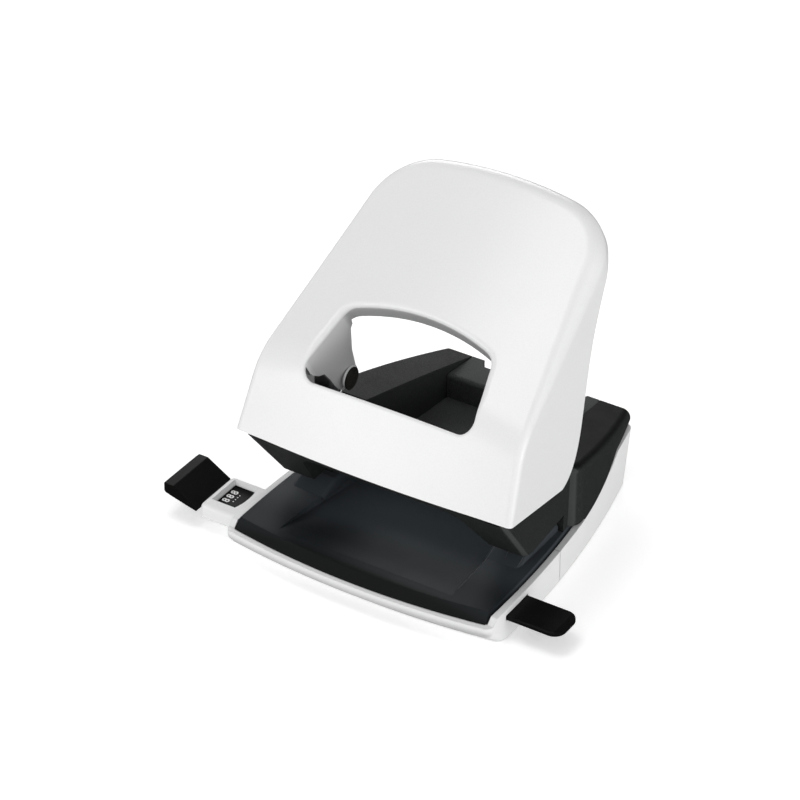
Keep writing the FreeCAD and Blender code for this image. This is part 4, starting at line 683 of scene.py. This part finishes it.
def mark_recipe():
    """Small round marks in a row along X, centred on the origin."""
    recipe = Recipe("scale_marks", ["Step", "Radius", "Thickness"])
    dot = recipe.node("GeometryNodeMeshCylinder", {}, {"Vertices": MARK_SIDES, "Radius": recipe.input("Radius"),
                                                       "Depth": recipe.input("Thickness")})
    return recipe.serve(recipe.in_a_row(dot, MARKS), WHITE_PRINT)


marks = baked(mark_recipe(), "scale_marks",
              {"Step": MARK_STEP, "Radius": MARK_RADIUS, "Thickness": MARK_THICKNESS})
for piece, spot in ((figures, FIGURES_AT), (marks, MARKS_AT)):
    placed(piece, spot, Matrix.Rotation(QUARTER_TURN, 4, "Z"))
    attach(piece, "guide_bar")

# %% [markdown]
# ## Collars and caps on the cross pins
# Each cross pin ends in a dark riveted cap with a pale collar round it, enamelled with the handle. A
# collar is a ring, so a small rounded rectangle is swept round a circle: Curve to Mesh does it. A cap
# is two discs, one a little smaller and prouder than the other, as a riveting tool leaves it.
# %% Recipes of the collar and the cap
RIVET_FACE = charcoal("rivet_face", base=(0.020, 0.0195, 0.017), lighter=(0.046, 0.044, 0.038),
                      grain_mm=0.5, depth_mm=0.02, rough=0.45)
COLLAR_INNER = 3.75 * MM
COLLAR_WALL = 0.75 * MM
COLLAR_DEPTH = 1.0 * MM
COLLAR_ROUNDING = 0.35
CAP_OVERLAP = 0.18 * MM
CAP_RADIUS = COLLAR_INNER + COLLAR_WALL - CAP_OVERLAP
CAP_DEPTH = 0.28 * MM
CAP_FACE_RADIUS = 0.9
CAP_FACE_DEPTH = 1.3
RING_STEPS = 48


def collar_recipe():
    """Ring round the Z axis with a rounded wall."""
    recipe = Recipe("pin_collar", ["Inner radius", "Wall", "Depth"])
    middle = recipe.maths("ADD", recipe.input("Inner radius"), recipe.scaled("Wall", 0.5))
    path = recipe.node("GeometryNodeCurvePrimitiveCircle", {}, {"Resolution": RING_STEPS, "Radius": middle})
    wall = recipe.node("GeometryNodeCurvePrimitiveQuadrilateral", {}, {"Width": recipe.input("Wall"),
                                                                       "Height": recipe.input("Depth")})
    wall = recipe.node("GeometryNodeFilletCurve", {},
                       {"Curve": wall, "Radius": recipe.scaled("Wall", COLLAR_ROUNDING)})
    ring = recipe.node("GeometryNodeCurveToMesh", {}, {"Curve": path, "Profile Curve": wall})
    return recipe.serve(ring, FINISHES["white_enamel"])


def cap_recipe():
    """Low disc on the Z axis with a second, smaller step."""
    recipe = Recipe("pin_cap", ["Radius", "Depth"])
    rim = recipe.node("GeometryNodeMeshCylinder", {}, {
        "Vertices": RING_STEPS, "Radius": recipe.input("Radius"), "Depth": recipe.input("Depth")})
    face = recipe.node("GeometryNodeMeshCylinder", {}, {
        "Vertices": RING_STEPS, "Radius": recipe.scaled("Radius", CAP_FACE_RADIUS),
        "Depth": recipe.scaled("Depth", CAP_FACE_DEPTH)})
    return recipe.serve(recipe.joined(rim, face), RIVET_FACE)

# %% [markdown]
# ## Both ends alike
# The left and the right pin mirror each other, so one recipe of each kind serves both. A collar and a
# cap sit where the pin's inner end is in the CAD, and they ride on the handle that holds the pin.
# %% Collars and caps
collar = collar_recipe()
cap = cap_recipe()
for side, outward in (("left", -1.0), ("right", 1.0)):
    low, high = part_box("cross_pin_" + side)
    end_x = min(abs(low[0]), abs(high[0])) * outward
    spot = Vector((end_x + outward * COLLAR_DEPTH * 0.5, (low[1] + high[1]) / 2, (low[2] + high[2]) / 2))
    across = Matrix.Rotation(QUARTER_TURN, 4, "Y")
    ring = baked(collar, "pin_collar_" + side,
                 {"Inner radius": COLLAR_INNER, "Wall": COLLAR_WALL, "Depth": COLLAR_DEPTH})
    placed(ring, spot, across)
    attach(ring, "handle")
    disc = baked(cap, "pin_cap_" + side, {"Radius": CAP_RADIUS, "Depth": CAP_DEPTH})
    spot.x = end_x - outward * CAP_DEPTH * 0.5
    placed(disc, spot, across)
    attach(disc, "handle")

# %% [markdown]
# ## Return springs
# A coil spring follows a rule, a circle that climbs, so a Spiral curve with a round profile draws it.
# %% Return springs
SPRING_WIRE = 1.0 * MM
SPRING_TURNS = 6.0
STEPS_PER_TURN = 28
WIRE_SIDES = 10
STROKES = {joint["name"]: joint["range_m"] for joint in frame["joints"] if "range_m" in joint}


def spring_recipe():
    """Coil round the Z axis, standing on the origin."""
    recipe = Recipe("return_spring", ["Radius", "Wire", "Turns", "Height"])
    climb = recipe.node("GeometryNodeCurveSpiral", {}, {
        "Resolution": STEPS_PER_TURN, "Rotations": recipe.input("Turns"),
        "Start Radius": recipe.input("Radius"), "End Radius": recipe.input("Radius"),
        "Height": recipe.input("Height")})
    wire = recipe.node("GeometryNodeCurvePrimitiveCircle", {}, {
        "Resolution": WIRE_SIDES, "Radius": recipe.scaled("Wire", 0.5)})
    coil = recipe.node("GeometryNodeCurveToMesh", {},
                       {"Curve": climb, "Profile Curve": wire, "Fill Caps": True})
    return recipe.serve(coil, FINISHES["spring_steel"])


spring = spring_recipe()
for side in ("left", "right"):
    low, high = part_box("punch_spring_" + side)
    height = high[2] - low[2]
    coil = baked(spring, "return_spring_" + side, {
        "Radius": (high[0] - low[0] - SPRING_WIRE) * 0.5, "Wire": SPRING_WIRE, "Turns": SPRING_TURNS,
        "Height": height - SPRING_WIRE})
    foot = Vector(((low[0] + high[0]) * 0.5, (low[1] + high[1]) * 0.5, low[2]))
    placed(coil, foot + Vector((0.0, 0.0, SPRING_WIRE * 0.5)))
    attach(coil, "chassis")
    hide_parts("punch_spring_" + side)
    travel = max(abs(limit) for limit in STROKES["punch_slide_" + side])
    1.0 - travel / height
    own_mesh(coil)
    print("spring", side, "free", round(height / MM, 2), "mm, pressed", round((height - travel) / MM, 2), "mm")

# %% [markdown]
# ## Painted glints
# Four fine light lines on the plate, where the paper is pushed in, are painted highlights: glints along
# edges and creases of the plate. Their finish is a greyer one than the plate's, uneven along the line.
# %% Painted glints
GLINT, GLINT_BRIGHT = (0.04, 0.045, 0.05), (0.12, 0.125, 0.13)


def scored_metal():
    finish = Finish("scored_metal")
    # Painted highlight: the pale grey of these threads stands in for glints along edges of the plate.
    patchiness = finish.noise(size_mm=1.2, detail=3.0)
    finish.set(Base_Color=finish.blend(patchiness, GLINT, GLINT_BRIGHT), Roughness=0.4)
    finish.bump(patchiness, depth_mm=0.005)
    return finish.material

# %% [markdown]
# ## Painted glint lines on the plate
# At this width a glint can't be told from a thread, and cutting one would change a solid. So each
# line is a thread of curve laid on the plate. The plate is dished and a straight thread would float or
# sink: points along the line are dropped on the plate by a ray, and a bevelled curve through them
# becomes a plain mesh. Only its upper half shows.
# %% Plate lines
LINE_RADIUS = 0.07 * MM
LINE_STEPS = 16
DROP_FROM = 0.1
# The start and the end of each line, as X and Y in millimetres.
PLATE_LINES_MM = (((-50.5, -9.2), (-50.5, -0.6)), ((35.8, -30.0), (34.7, -1.6)),
                  ((40.7, -5.5), (40.0, -0.3)), ((46.6, -6.9), (46.3, -1.2)))
plate = frame["nodes"]["base_plate"]
thread = bpy.data.curves.new("plate_lines", "CURVE")
thread.dimensions = "3D"
thread.bevel_depth = LINE_RADIUS
thread.bevel_resolution = 1
thread.use_fill_caps = True
for start, end in PLATE_LINES_MM:
    spots = []
    for step in range(LINE_STEPS + 1):
        spot = Vector((*start, 0.0)).lerp(Vector((*end, 0.0)), step / LINE_STEPS) * MM
        spot.z = DROP_FROM
        met, place, _, _ = plate.ray_cast(spot, Vector((0.0, 0.0, -1.0)))
        if met:
            spots.append(place)
    line = thread.splines.new("POLY")
    line.points.add(len(spots) - 1)
    for point, place in zip(line.points, spots):
        point.co = (*place, 1.0)
maker = bpy.data.objects.new("plate_lines_curve", thread)
bpy.context.collection.objects.link(maker)
graph = bpy.context.evaluated_depsgraph_get()
plate_lines = bpy.data.objects.new("plate_lines", bpy.data.meshes.new_from_object(maker.evaluated_get(graph)))
bpy.data.objects.remove(maker)
bpy.context.collection.objects.link(plate_lines)
plate_lines.data.materials.clear()
plate_lines.data.materials.append(scored_metal())
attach(plate_lines, "chassis")
print("plate lines:", len(plate_lines.data.polygons), "faces")
